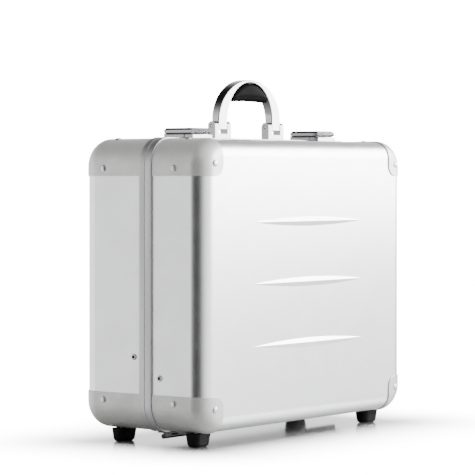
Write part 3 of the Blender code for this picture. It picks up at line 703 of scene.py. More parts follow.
@dataclass(frozen=True)
class Finish:
    """A procedural surface: one Principled shader with grain, marks and slow colour change."""

    name: str
    colour: tuple[float, float, float]
    roughness: float
    metallic: float = 0.0
    grain: float = 700.0           # grains in a metre
    stretch: tuple[float, float, float] = (1.0, 1.0, 1.0)
    bump: float = 0.05
    bump_mm: float = 0.05
    shade: float = 0.06            # how far the grain and clouds darken the colour
    marks: float = 0.0             # depth of scratches and smudges
    sheen: float = 0.0
    shine: float = 0.5             # specular level
    vary: float = 0.10             # how much the roughness varies
    effect: Effect = Effect.GRAIN

    def material(self) -> bpy.types.Material:
        """The finish as a material, built once.

        Returns:
            The material.
        """
        found = bpy.data.materials.get(self.name)
        if found:
            return found
        made = bpy.data.materials.new(self.name)
        made.use_nodes = True
        made.diffuse_color = (*self.colour, 1.0)
        shader = made.node_tree.nodes["Principled BSDF"]
        shader.inputs["Metallic"].default_value = self.metallic
        shader.inputs["Sheen Weight"].default_value = self.sheen
        shader.inputs["Specular IOR Level"].default_value = self.shine
        self.wire(NodeSheet(made.node_tree), shader)
        return made

    def tint(self, share: float) -> tuple[float, ...]:
        """The colour darkened to a share of itself, with alpha."""
        return (*(value * share for value in self.colour), 1.0)

    def wire(self, sheet: NodeSheet, shader: bpy.types.Node) -> None:
        """Wire grain, marks and slow changes of tone into the shader.

        Args:
            sheet: The material's nodes.
            shader: Its Principled shader.
        """
        place = sheet.add("TexCoord").outputs["Object"]
        drawn = sheet.stretched(place, self.stretch)
        grain = placed_effect(sheet, self.effect, drawn, self.grain).outputs
        marks = placed_effect(sheet, Effect.HANDLING, place, MARKS_SCALE).outputs
        mottle = sheet.maths("MULTIPLY", grain["Mask"], grain["Height"])
        tone = sheet.mix(mottle, self.tint(1.0), self.tint(1.0 - SHADE_GAIN * self.shade))
        scratch = sheet.maths("MULTIPLY", marks["Height"], self.marks)
        tone = sheet.mix(scratch, tone, self.tint(SCRATCH_TINT))
        rough = sheet.maths("ADD", self.roughness - self.vary / 2,
                            sheet.maths("MULTIPLY", grain["Mask"], self.vary))
        smudge = sheet.maths("MULTIPLY", marks["Mask"], SMUDGE_GAIN * self.marks)
        rough = sheet.maths("ADD", rough, smudge, clamp=True)
        bump = sheet.add("Bump", {"Strength": self.bump, "Distance": self.bump_mm * MM,
                                  "Height": grain["Height"]})
        for socket, value in (("Base Color", tone), ("Roughness", rough),
                              ("Normal", bump.outputs["Normal"])):
            sheet.tree.links.new(value, shader.inputs[socket])


def placed_effect(sheet: NodeSheet, effect: Effect, place: bpy.types.NodeSocket,
                  scale: float) -> bpy.types.Node:
    """Place a shared effect in a material.

    Args:
        sheet: The material's nodes.
        effect: Which effect.
        place: Where on the surface.
        scale: Its scale in repeats to a metre.

    Returns:
        The group's node.
    """
    node = sheet.tree.nodes.new("ShaderNodeGroup")
    node.node_tree = effect_group(effect)
    sheet.tree.links.new(place, node.inputs["Place"])
    node.inputs["Scale"].default_value = scale
    return node


SHELL_METAL = Finish("satin_shell_aluminium", (0.86, 0.87, 0.88), 0.36, 1.0, grain=1500.0,
                     bump=0.06, bump_mm=0.02, shade=0.015, marks=0.03, vary=0.03)
FRAME_METAL = Finish("drawn_frame_aluminium", (0.60, 0.60, 0.61), 0.50, 1.0, grain=900.0,
                     stretch=(0.25, 6.0, 0.25), bump=0.12, bump_mm=0.02, shade=0.04, marks=0.15)
CAP_PAINT = Finish("grey_cap_paint", (0.62, 0.62, 0.61), 0.42, 0.55, grain=2200.0, bump=0.22,
                   bump_mm=0.03, shade=0.05, marks=0.25)
RIVET_METAL = Finish("domed_rivet_metal", (0.66, 0.66, 0.66), 0.42, 1.0, grain=1200.0, bump=0.05,
                     shade=0.05, marks=0.4)
POLISHED_METAL = Finish("polished_fitting_metal", (0.42, 0.42, 0.43), 0.12, 1.0, grain=900.0,
                        bump=0.02, bump_mm=0.01, shade=0.01, marks=0.12)
# Near-black base colour is painted shade: the hinges sit in the shadow under the case, and their steel is
# darkened to read as shaded.
HINGE_STEEL = Finish("dark_hinge_steel", (0.045, 0.045, 0.048), 0.34, 1.0, grain=1400.0, bump=0.08,
                     bump_mm=0.02, shade=0.05, marks=0.3)
# Base colour darker than the other fittings so that the bracket's side away from the lights reads
# near-black: painted shade over the whole bracket.
BRACKET_METAL = Finish("cast_bracket_metal", (0.34, 0.34, 0.35), 0.15, 1.0, grain=1000.0, bump=0.03,
                       bump_mm=0.02, shade=0.03, marks=0.15)
LATCH_METAL = Finish("satin_latch_metal", (0.40, 0.40, 0.41), 0.22, 1.0, grain=1100.0, bump=0.05,
                     bump_mm=0.02, shade=0.04, marks=0.2)
PLATED_STEEL = Finish("plated_steel", (0.60, 0.60, 0.62), 0.28, 1.0, grain=1400.0, bump=0.08,
                      bump_mm=0.02, shade=0.05, marks=0.3)
FOOT_RUBBER = Finish("moulded_foot_rubber", (0.007, 0.007, 0.008), 0.48, grain=1800.0, bump=0.30,
                     bump_mm=0.05, shade=0.15, shine=0.06)
SEAL_RUBBER = Finish("soft_seal_rubber", (0.012, 0.012, 0.012), 0.62, grain=2400.0, bump=0.3,
                     bump_mm=0.05, shade=0.15, shine=0.1)
GRIP_SKIN = Finish("soft_grip_skin", (0.003, 0.003, 0.0035), 0.40, grain=1500.0, bump=0.25,
                   bump_mm=0.06, shade=0.15, shine=0.012)
LINING_CLOTH = Finish("woven_lining_cloth", (0.050, 0.052, 0.058), 0.88, grain=3200.0, bump=0.6,
                      bump_mm=0.20, shade=0.14, sheen=0.12, shine=0.15, effect=Effect.WEAVE)


# ---- the case's own sizes -----------------------------------------------------------------------
def frame_place(node: str, corner: int, axis: str) -> float:
    """One coordinate of a CAD node's box in millimetres; corner 0 is the lowest, 1 the highest."""
    return getattr(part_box(node)[corner], axis) / MM


def node_box(node: str) -> tuple[Vector, Vector, Vector]:
    """Lowest corner, highest corner and middle of a CAD node's box, in millimetres."""
    low, high = (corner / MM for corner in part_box(node))
    return low, high, (low + high) / 2


def pin_rod(node: str, radius: float, dress: Finish) -> None:
    """Model and dress a pin with rounded ends, as long as its CAD node.

    Args:
        node: The CAD node.
        radius: The pin's radius.
        dress: Its finish.
    """
    low, high, middle = node_box(node)
    rod = Workpiece.rod(f"{node}_rod", middle, "x", (radius,) * 2, high.x - low.x)
    rod.soften(0.7, 4).finish("base", dress, "steel", node)


END_X = frame_place("base_shell", 1, "x")
BOTTOM_Z = frame_place("base_shell", 0, "z")
TOP_Z = frame_place("base_shell", 1, "z")
MIDDLE_Z = (BOTTOM_Z + TOP_Z) / 2
PARTING_Y = frame_place("base_frame", 0, "y") - GAP / 2
RIB_RAISE = 3.2
WEB = 3.2                      # the frame's web, which the shell's open edge stands against


@dataclass(frozen=True)
class Half:
    """One half of the case: the lid at the front, or the base at the back."""

    name: str
    outward: int
    face_y: float
    strip: float

    @property
    def shell_y(self) -> float:
        """Where the shell's open edge sits in its frame."""
        return PARTING_Y + self.outward * (WEB + GAP)

    @property
    def strip_y(self) -> float:
        """The frame's edge that shows on the walls."""
        return PARTING_Y + self.outward * self.strip

    def blank(self, name: str, skin: float, open_y: float) -> Workpiece:
        """An open tray of sheet that follows the case's outside, without thickness.

        Args:
            name: The piece's name.
            skin: Distance outside the shell's surface, or inside where negative.
            open_y: Where the tray's open edge lies.

        Returns:
            The workpiece.
        """
        form = CaseForm()
        face_y = self.face_y + self.outward * skin
        low_y, high_y = sorted((open_y, face_y))
        tray = Workpiece.block(name, (-END_X - skin, low_y, BOTTOM_Z - skin),
                               (END_X + skin, high_y, TOP_Z + skin))
        tray.delete(at("y", open_y))
        tray.bevel(along("y"), form.corner + skin, form.corner_steps)
        return tray.bevel(at("y", face_y), form.edge + skin, form.edge_steps)


@dataclass(frozen=True)
class CaseForm:
    """The rounding that every panel of the case shares."""

    corner: float = 34.0
    edge: float = 22.0
    corner_steps: int = 20
    edge_steps: int = 14


LID = Half("lid", -1, frame_place("lid_shell", 0, "y") + RIB_RAISE, 9.7)
BASE = Half("base", 1, frame_place("base_shell", 1, "y") - RIB_RAISE, 9.0)


@dataclass
class Shells:
    """The two pressed shells with their ribs."""

    rib_length: float = 240.0
    rib_width: float = 12.0
    rib_heights: tuple[float, ...] = (102.0, 180.0, 257.0)
    rib_stations: int = 24
    rib_fullness: float = 0.8          # lower keeps the rib full further out
    rib_tip: float = 0.03              # share of the rib's section at its two ends
    ridge: float = 0.9                 # rounding of the rib's ridge

    def rib(self) -> Workpiece:
        """One long spindle with a rounded ridge, centred on the origin.

        Returns:
            The workpiece.
        """
        rib = Workpiece.rod("rib", (0, 0, 0), "x", (self.rib_width / 2, RIB_RAISE),
                            self.rib_length, sides=4)
        rib.edit("EDGE", along("x"), lambda: bpy.ops.mesh.subdivide(number_cuts=self.rib_stations - 1))
        for station in range(self.rib_stations + 1):
            share = 2 * station / self.rib_stations - 1
            full = max(self.rib_tip, math.cos(share * math.pi / 2) ** self.rib_fullness)
            rib.resize("VERT", at("x", share * self.rib_length / 2), (1, full, full), (0, 0, 0))
        between_faces = both(at("z", 0.0, 0.02), lambda item: len(item.link_faces) == 2)
        return rib.bevel(between_faces, self.ridge, 3)

    def build(self) -> None:
        """Model and dress both shells."""
        rib = self.rib()
        for half in (LID, BASE):
            shell = half.blank(f"{half.name}_shell_panel", 0.0, half.shell_y).thicken(WALL)
            for height in self.rib_heights:
                place = Matrix.Translation(Vector((0, half.face_y, BOTTOM_Z + height)) * MM)
                shell.weld(rib.copy("rib_copy").place(place))
            shell.finish(half.name, SHELL_METAL, "shell", f"{half.name}_shell")
        bpy.data.objects.remove(rib.obj, do_unlink=True)


@dataclass
class Frames:
    """The two extruded edge frames and the seal between them."""

    proud: float = 2.8
    inner: float = 4.0
    tongue: float = 4.0
    tongue_thick: float = 1.5
    edge: float = 0.7
    wall_start: float = 0.5            # of the inner wall behind the land
    seal_reach: float = 0.8            # of the seal on both sides of the shell's surface
    seal_span: tuple[float, float] = (0.15, 1.15)

    def ring(self, name: str, outside: float, inside: float, span: tuple[float, float]) -> Workpiece:
        """A band of rectangular section that runs round the case.

        Args:
            name: The piece's name.
            outside: Distance of its outer side outside the shell's surface.
            inside: Distance of its inner side inside the shell's surface.
            span: Its two edges in Y.

        Returns:
            The workpiece.
        """
        low, high = sorted(span)
        ring = Workpiece.block(name, (-END_X - outside, low, BOTTOM_Z - outside),
                               (END_X + outside, high, TOP_Z + outside))
        ring.bevel(along("y"), CaseForm.corner + outside, CaseForm.corner_steps)
        return ring.edit(
            "FACE", either(at("y", low), at("y", high)),
            lambda: bpy.ops.mesh.inset(thickness=(outside + inside) * MM, use_even_offset=True),
            lambda: bpy.ops.mesh.bridge_edge_loops())

    def outer_edges(self, y: float) -> Test:
        """Test for the outer rim of a ring at one depth.

        Args:
            y: The depth.

        Returns:
            The test.
        """
        def outward(item: Item) -> bool:
            """Says whether a wall beside an edge faces away from the middle of the case."""
            middle = sum(corners(item), Vector()) / 2 - Vector((0, 0, MIDDLE_Z))
            return any(abs(face.normal.y) < 0.5 and face.normal.dot(middle) > 0
                       for face in item.link_faces)

        return both(at("y", y), outward)

    def build(self) -> None:
        """Model and dress the frames and the seal."""
        for half in (LID, BASE):
            out = half.outward
            land = PARTING_Y + out * GAP / 2
            lip = self.ring(f"{half.name}_edge_frame", self.proud, -GAP, (half.strip_y, land))
            for y in (half.strip_y, land):
                lip.bevel(self.outer_edges(y), self.edge, 3)
            web_end = PARTING_Y + out * WEB
            lip.weld(self.ring("web", self.proud / 2, self.inner, (land, web_end)),
                     self.ring("inner_wall", -WALL - GAP, self.inner,
                               (land + out * self.wall_start, half.strip_y)))
            if half is LID:
                reach = PARTING_Y + self.tongue
                tongue = self.ring("tongue", -self.inner - GAP,
                                   self.inner + GAP + self.tongue_thick, (half.strip_y, reach))
                lip.weld(tongue)
            lip.finish(half.name, FRAME_METAL, "frame", f"{half.name}_frame")
        seal = self.ring("frame_seal", self.seal_reach, self.seal_reach,
                         (PARTING_Y + self.seal_span[0], PARTING_Y + self.seal_span[1]))
        seal.soften(0.3).finish("base", SEAL_RUBBER, "gasket_rubber", "frame_gasket")


@dataclass
class CornerCaps:
    """Eight pressed corner caps with domed rivets."""

    thick: float = 1.0
    reach_z: float = 45.5
    reach_x: float = 37.0
    rivet_radius: float = 4.3
    rivet_rise: float = 1.6
    rivet_root: float = 0.4            # how far a head reaches into its cap
    end_rivet_z: float = 36.0
    top_rivet_x: float = 27.0
    face_rivet: tuple[float, float] = (21.0, 30.0)
    rivet_from_face: dict[str, float] = field(default_factory=lambda: {"lid": 46.0, "base": 36.0})

    def panel(self, half: Half) -> Workpiece:
        """The cap over the top left corner of one half, with a round tab on the face.

        Args:
            half: Lid or base.

        Returns:
            The workpiece.
        """
        cap = half.blank("cap", GAP, half.strip_y + half.outward * GAP)
        inner_x, low_z = -END_X + self.reach_x, TOP_Z - self.reach_z
        cap.bisect((inner_x, 0, 0), (1, 0, 0)).bisect((0, 0, low_z), (0, 0, -1))
        tab = both(at("x", inner_x), at("z", low_z))
        cap.bevel(tab, self.reach_x - CaseForm.edge, 12, corner=True)
        return cap.thicken(self.thick, outward=True).soften(0.3, 2, 50)

    def rivet(self) -> Workpiece:
        """A domed head that stands on the origin along Z."""
        radii = (self.rivet_radius, self.rivet_radius, self.rivet_rise)
        head = Workpiece.ball("rivet", (0, 0, 0), radii)
        return head.bisect((0, 0, -self.rivet_root), (0, 0, -1), fill=True)

    def rivet_places(self, half: Half, level: str) -> list[tuple[Vector, Vector]]:
        """Where the rivets of a top left or bottom left cap sit, and which way they point.

        Args:
            half: Lid or base.
            level: "top" or "bottom".

        Returns:
            Points and normals, in millimetres, as on the top left cap.
        """
        skin = GAP + self.thick
        y = half.face_y - half.outward * self.rivet_from_face[half.name]
        face_y = half.face_y + half.outward * skin
        places = [(Vector((-END_X - skin, y, TOP_Z - self.end_rivet_z)), Vector((-1, 0, 0))),
                  (Vector((-END_X + self.face_rivet[0], face_y, TOP_Z - self.face_rivet[1])),
                   Vector((0, half.outward, 0)))]
        if level == "top":
            across = CaseForm.corner - self.top_rivet_x
            up = math.sqrt((CaseForm.corner + skin) ** 2 - across ** 2)
            places.append((Vector((-END_X + self.top_rivet_x, y, TOP_Z - CaseForm.corner + up)),
                           Vector((-across, 0, up))))
        return places

    def build(self) -> None:
        """Model one cap for each half, and set mirrored copies on the corners."""
        rivet = self.rivet()
        for half in (LID, BASE):
            panel = self.panel(half)
            for level, up in LEVELS.items():
                heads = []
                for point, normal in self.rivet_places(half, level):
                    turn = normal.to_track_quat("Z", "Y").to_matrix().to_4x4()
                    heads.append(rivet.copy("head").place(Matrix.Translation(point * MM) @ turn))
                heads[0].gather(*heads[1:])
                for side, sign in SIDES.items():
                    flip = (-sign, 1, up)
                    name = f"{half.name}_{side}_{level}"
                    cap = panel.mirrored(f"corner_cap_{name}", flip, MIDDLE_Z)
                    cap.finish(half.name, CAP_PAINT, "cap", f"cap_{name}")
                    head = heads[0].mirrored(f"cap_rivets_{name}", flip, MIDDLE_Z)
                    head.finish(half.name, RIVET_METAL, "cap")
                bpy.data.objects.remove(heads[0].obj, do_unlink=True)
            bpy.data.objects.remove(panel.obj, do_unlink=True)
        bpy.data.objects.remove(rivet.obj, do_unlink=True)


@dataclass
class Feet:
    """Four tapered rubber feet with recessed pan-head screws."""

    taper: float = 4.6
    radius: float = 7.5
    tread_radius: float = 4.0
    outside: float = 1.8               # how far the rubber stands outside the CAD foot
    bore: float = 4.2
    bore_depth: float = 7.0
    shank: float = 2.3
    step: float = 1.6
    screw_from_end: float = 31.0
    screw_head: float = 2.4
    screw_shank: float = 2.0
    recess: tuple[float, float, float] = (2.4, 0.45, 1.3)   # half length, half width and depth

    def build(self) -> None:
        """Model and dress the feet and their screws."""
        for half in (LID, BASE):
            for side, sign in SIDES.items():
                self.foot(half, side, sign)
                self.screw(half, side)

    def foot(self, half: Half, side: str, sign: int) -> None:
        """One foot, stepped over its corner cap.

        Args:
            half: Lid or base.
            side: "left" or "right".
            sign: The side's sign in X.
        """
        node = f"foot_{half.name}_{side}"
        low, high, middle = node_box(node)
        spread = Vector((self.outside, self.outside, 0))
        low, high = low - spread, high + spread
        foot = Workpiece.block(f"rubber_{node}", low, high)
        share = [1 - self.taper / (high[axis] - low[axis]) for axis in (0, 1)]
        foot.resize("VERT", at("z", low.z), (*share, 1), (middle.x, middle.y, low.z))
        foot.bevel(crosses(middle.z), self.radius, 8)
        foot.bevel(at("z", low.z), self.tread_radius, 5)
        x = sign * (END_X - self.screw_from_end)
        edge = sign * (END_X - CornerCaps.reach_x - GAP)
        ends = sorted((edge, sign * END_X))
        foot.cut(
            Workpiece.block("step", (ends[0], low.y - CLEAR, BOTTOM_Z - self.step),
                            (ends[1], high.y + CLEAR, BOTTOM_Z)),
            Workpiece.rod("bore", (x, middle.y, 0), "z", (self.bore,) * 2, 2 * self.bore_depth),
            Workpiece.rod("hole", (x, middle.y, middle.z), "z", (self.shank,) * 2, DRILL))
        foot.soften(0.4, 2, 50).finish(half.name, FOOT_RUBBER, "foot_rubber", node)

    def screw(self, half: Half, side: str) -> None:
        """One screw with a cross recess, head down.

        Args:
            half: Lid or base.
            side: "left" or "right".
        """
        node = f"foot_screw_{half.name}_{side}"
        low, high, middle = node_box(node)
        waist = low.z + self.screw_head / 2
        screw = Workpiece.rod(f"pan_head_{side}_{half.name}", (middle.x, middle.y, waist), "z",
                              (high.x - middle.x,) * 2, self.screw_head)
        screw.bevel(at("z", low.z), self.screw_head / 2, 5)
        screw.weld(Workpiece.rod("shank", (middle.x, middle.y, (waist + high.z) / 2), "z",
                                 (self.screw_shank,) * 2, high.z - waist, sides=24))
        length, width, depth = self.recess
        for x, y in ((length, width), (width, length)):
            screw.cut(Workpiece.block("recess", (middle.x - x, middle.y - y, low.z - CLEAR),
                                      (middle.x + x, middle.y + y, low.z + depth)))
        screw.finish(half.name, PLATED_STEEL, "steel", node)


@dataclass
class Hinges:
    """Two drop hinges under the parting plane."""

    leaf_thick: float = 1.6
    knuckle: float = 3.2
    axis_height: float = 4.0           # of the pin above the lowest point of the CAD leaf
    pin: float = 2.0
    knuckles: int = 5

    def leaf(self, side: str, half: Half) -> None:
        """One leaf with its share of the knuckles.

        Args:
            side: "left" or "right".
            half: Lid or base.
        """
        node = f"hinge_{side}_{half.name}_leaf"
        low, high, _ = node_box(node)
        axis_z = low.z + self.axis_height
        start, end = (frame_place(f"hinge_{side}_pin", corner, "x") for corner in (0, 1))
        edge = PARTING_Y + half.outward * GAP
        ys = sorted((edge, half.strip_y - half.outward * GAP))
        leaf = Workpiece.block(f"{node}_plate", (start, ys[0], high.z - self.leaf_thick),
                               (end, ys[1], high.z))
        leaf.bevel(along("y"), 0.3, 2)
        pitch = (end - start) / self.knuckles
        for turn in range(1 if half is BASE else 0, self.knuckles, 2):
            x0, x1 = start + turn * pitch + GAP / 2, start + (turn + 1) * pitch - GAP / 2
            web = sorted((edge, PARTING_Y + half.outward * self.knuckle))
            leaf.weld(Workpiece.block("web", (x0, web[0], axis_z),
                                      (x1, web[1], high.z - self.leaf_thick / 2)),
                      Workpiece.rod("knuckle", ((x0 + x1) / 2, PARTING_Y, axis_z), "x",
                                    (self.knuckle,) * 2, x1 - x0))
        leaf.cut(Workpiece.rod("bore", ((start + end) / 2, PARTING_Y, axis_z), "x",
                               (self.pin + GAP,) * 2, end - start + CLEAR))
        # The near-black finish paints the shade under the case onto the leaves and pins.
        leaf.soften(0.25, 2, 50).finish(half.name, HINGE_STEEL, "steel", node)

    def build(self) -> None:
        """Model and dress the hinges."""
        for side in SIDES:
            for half in (LID, BASE):
                self.leaf(side, half)
            pin_rod(f"hinge_{side}_pin", self.pin, HINGE_STEEL)


@dataclass
class Handle:
    """The arched bow with its padded grip, two clevis brackets and their pins."""

    half_span: float = 67.5
    leg_width: float = 18.0
    leg_depth: float = 11.5
    depth_gain: float = 3.5
    crown: float = 3.5
    straight: float = 6.6
    tail: float = 5.0
    bracket_depth: float = 12.0
    plate: float = 8.8
    pin: float = 2.0
    sides: int = 112

    def __post_init__(self) -> None:
        """Read the pivot and the top of the bow from the frame."""
        low, high, middle = node_box("handle_bow")
        self.top = high.z
        self.pivot = low.z + self.tail
        self.y = middle.y
        self.spring = self.pivot + self.straight
        self.leg_x = self.half_span - self.leg_width / 2

    def bow(self) -> None:
        """A half ellipse with a thin crown that widens into two legs."""
        rise = self.top - self.spring
        centre = (0, self.y, self.spring)
        bow = Workpiece.rod("handle_bow_arch", centre, "y", (self.half_span, rise),
                            self.leg_depth, self.sides)
        bow.cut(Workpiece.rod("window", centre, "y",
                              (self.half_span - self.leg_width, rise - self.crown), DRILL, self.sides))
        bow.bisect(centre, (0, 0, -1), fill=True)
        drop = self.straight + self.tail
        bow.edit("FACE", both(at("z", self.spring), lambda item: abs(item.normal.z) > 0.9),
                 lambda: bpy.ops.mesh.extrude_region_move(
                     TRANSFORM_OT_translate={"value": (0, 0, -drop * MM)}))
        self.deepen(bow, rise)
        bow.cut(Workpiece.rod("bore", (0, self.y, self.pivot), "x", (self.pin + GAP,) * 2,
                              2 * self.half_span + DRILL))
        bow.soften(1.3, 5, 40).finish("handle", POLISHED_METAL, "polished", "handle_bow")

    def deepen(self, bow: Workpiece, rise: float) -> None:
        """Make the bow deeper in Y towards its crown.

        Args:
            bow: The bow.
            rise: Height of the arch.
        """
        gain = self.depth_gain / self.leg_depth
        for vertex in bow.obj.data.vertices:
            up = min(1.0, max(0.0, (vertex.co.z / MM - self.spring) / rise))
            vertex.co.y = self.y * MM + (vertex.co.y - self.y * MM) * (1 + gain * up)

    def bracket(self, side: str, sign: int) -> None:
        """A clevis with two round-topped ears on a plate that steps over the frame.

        Args:
            side: "left" or "right".
            sign: The side's sign in X.
        """
        node = f"handle_bracket_{side}"
        low, high, _ = node_box(node)
        x = sign * self.leg_x
        y0, y1 = self.y - self.bracket_depth / 2, self.y + self.bracket_depth / 2
        gap = self.leg_width / 2 + GAP
        bracket = Workpiece.block(f"{node}_clevis", (low.x, y0, low.z), (high.x, y1, self.pivot))
        bracket.weld(Workpiece.rod("ear", (x, self.y, self.pivot), "x", (self.bracket_depth / 2,) * 2,
                                   high.x - low.x, 48))
        bracket.cut(
            Workpiece.block("slot", (x - gap, y0 - CLEAR, TOP_Z + self.plate),
                            (x + gap, y1 + CLEAR, self.top)),
            Workpiece.block("step", (low.x - CLEAR, y0 - CLEAR, low.z - CLEAR),
                            (high.x + CLEAR, PARTING_Y + BASE.strip + GAP, TOP_Z + Frames.proud + GAP)),
            Workpiece.rod("bore", (x, self.y, self.pivot), "x", (self.pin + GAP,) * 2, DRILL))
        # The darkened finish paints the shade of the bracket's side.
        bracket.soften(1.9, 5, 40).finish("base", BRACKET_METAL, "polished", node)

    def build(self) -> None:
        """Model and dress the handle."""
        self.bow()
        for side, sign in SIDES.items():
            self.bracket(side, sign)
            pin_rod(f"handle_pin_{side}", self.pin, PLATED_STEEL)
        self.grip()

    def grip(self) -> None:
        """The padded crescent under the crown, swollen by a short cloth simulation."""
        pad = Workpiece.from_node("handle_grip", "padded_grip")
        pad.modify("REMESH", mode="VOXEL", voxel_size=1.3 * MM, use_smooth_shade=True)
        pad.modify("SMOOTH", factor=0.7, iterations=30)
        swell(pad, pressure=3.0, most=0.35)
        pad.modify("SMOOTH", factor=0.6, iterations=8)
        pad.modify("SUBSURF", levels=1, render_levels=1)
        pad.obj.data.materials.clear()
        pad.finish("handle", GRIP_SKIN, "grip", "handle_grip", smooth=60)


@dataclass
class Latches:
    """Two flip latches: catch on the lid, housing and lever on the base."""

    edge: float = 0.45
    crown: float = 2.0                 # how far the lever's top stands above the CAD lever
    slopes: tuple[float, float] = (2.6, 2.0)   # of the lever's rim, above and below
    slit_edge: float = 0.9             # rounding at the slit between catch and housing

    def lever(self, side: str) -> None:
        """The flip lever, sloped above and below so that its rim is pointed.

        Args:
            side: "left" or "right".
        """
        node = f"latch_{side}_lever"
        low, high, _ = node_box(node)
        piece = Workpiece.from_node(node, f"{node}_block")
        ends = either(at("x", low.x), at("x", high.x))
        rim = either(ends, at("y", low.y))
        piece.edit("VERT", at("z", high.z),
                   lambda: bpy.ops.transform.translate(value=(0, 0, self.crown * MM)))
        piece.bevel(both(at("z", high.z + self.crown), ends), self.slopes[0], 1)
        piece.bevel(both(at("z", low.z), rim), self.slopes[1], 1)
        piece.soften(0.3, 2, 20)
        piece.finish(f"latch_{side}", LATCH_METAL, "polished", node, smooth=15)

    def build(self) -> None:
        """Dress the latch pieces with rounded edges."""
        blocks = {"catch": "lid", "housing": "base"}
        small = {"claw": "latch_{}", "pin": "base", "spring": "base"}
        for side in SIDES:
            self.lever(side)
            for part, body in blocks.items():
                node = f"latch_{side}_{part}"
                piece = Workpiece.from_node(node, f"{node}_block")
                slit = frame_place(node, 1 if part == "catch" else 0, "y")
                piece.bevel(both(along("z"), at("y", slit)), self.slit_edge, 3)
                piece.soften(self.edge, 3, 30)
                piece.finish(body, LATCH_METAL, "polished", node)
            for part, body in small.items():
                node = f"latch_{side}_{part}"
                piece = Workpiece.from_node(node, f"{node}_steel").soften(0.12, 2, 50)
                piece.finish(body.format(side), PLATED_STEEL, "steel", node)


@dataclass
class Stays:
    """Folding stays inside each end, and the eyelets that hold them."""

    eyelet: float = 3.8
    ring: float = 1.4                  # how far the rolled ring stands out of the wall
    roll: float = 1.3                  # rounding of the ring
    shank: float = 2.6
    bore: float = 2.0
    bore_depth: float = 2.5
    tail: tuple[float, float] = (3.2, 0.3)     # radius and thickness of the closed end
    ring_lap: float = 0.8              # how far the shank stops short of the ring's outer side
    # The black stopper in the eyelet's bore is painted shade: it stands in for the darkness deep inside
    # the hole.
    plug: tuple[float, float] = (1.5, 1.6)     # depth of its middle, and its thickness
    plug_gap: float = 0.05

    def eyelet_piece(self, side: str, sign: int, part: str, body: str) -> None:
        """A tubular rivet whose rolled ring shows on the end wall, with a black rubber stopper in its bore
        that paints the shade inside the hole.

        Args:
            side: "left" or "right".
            sign: The side's sign in X.
            part: "base" or "lid", the half that the rivet is set in.
            body: The CAD body that it rides on.
        """
        node = f"stay_{side}_{part}_rivet"
        low, high, middle = node_box(node)
        outer = high.x if sign > 0 else low.x
        inner = low.x if sign > 0 else high.x
        back = sign * self.ring / 2
        ring = Workpiece.rod(f"{node}_eyelet", (outer - back, middle.y, middle.z), "x",
                             (self.eyelet,) * 2, self.ring)
        ring.bevel(at("x", outer), self.roll, 5)
        ring.weld(Workpiece.rod("shank", (middle.x - sign * self.ring_lap / 2, middle.y, middle.z), "x",
                                (self.shank,) * 2, high.x - low.x - self.ring_lap))
        if part == "base":
            radius, thick = self.tail
            place = (inner + sign * thick / 2, middle.y, middle.z)
            ring.weld(Workpiece.rod("tail", place, "x", (radius,) * 2, thick))
        ring.cut(Workpiece.rod("bore", (outer, middle.y, middle.z), "x", (self.bore,) * 2,
                               2 * self.bore_depth))
        ring.soften(0.2, 2, 50).finish(body, RIVET_METAL, "steel", node)
        # Black stopper set down the bore: painted shade inside the hole.
        depth, thick = self.plug
        plug = Workpiece.rod(f"{node}_plug", (outer - sign * depth, middle.y, middle.z), "x",
                             (self.bore - self.plug_gap,) * 2, thick).soften(0.3)
        plug.finish(body, SEAL_RUBBER, "gasket_rubber")

    def build(self) -> None:
        """Model and dress the stays."""
        for side, sign in SIDES.items():
            self.eyelet_piece(side, sign, "base", "base")
            self.eyelet_piece(side, sign, "lid", "lid")
            for part, body in (("lower_link", "lower"), ("upper_link", "upper"), ("joint_rivet", "lower")):
                node = f"stay_{side}_{part}"
                piece = Workpiece.from_node(node, f"{node}_steel").soften(0.25, 2, 50)
                piece.finish(f"stay_{side}_{body}", PLATED_STEEL, "steel", node)


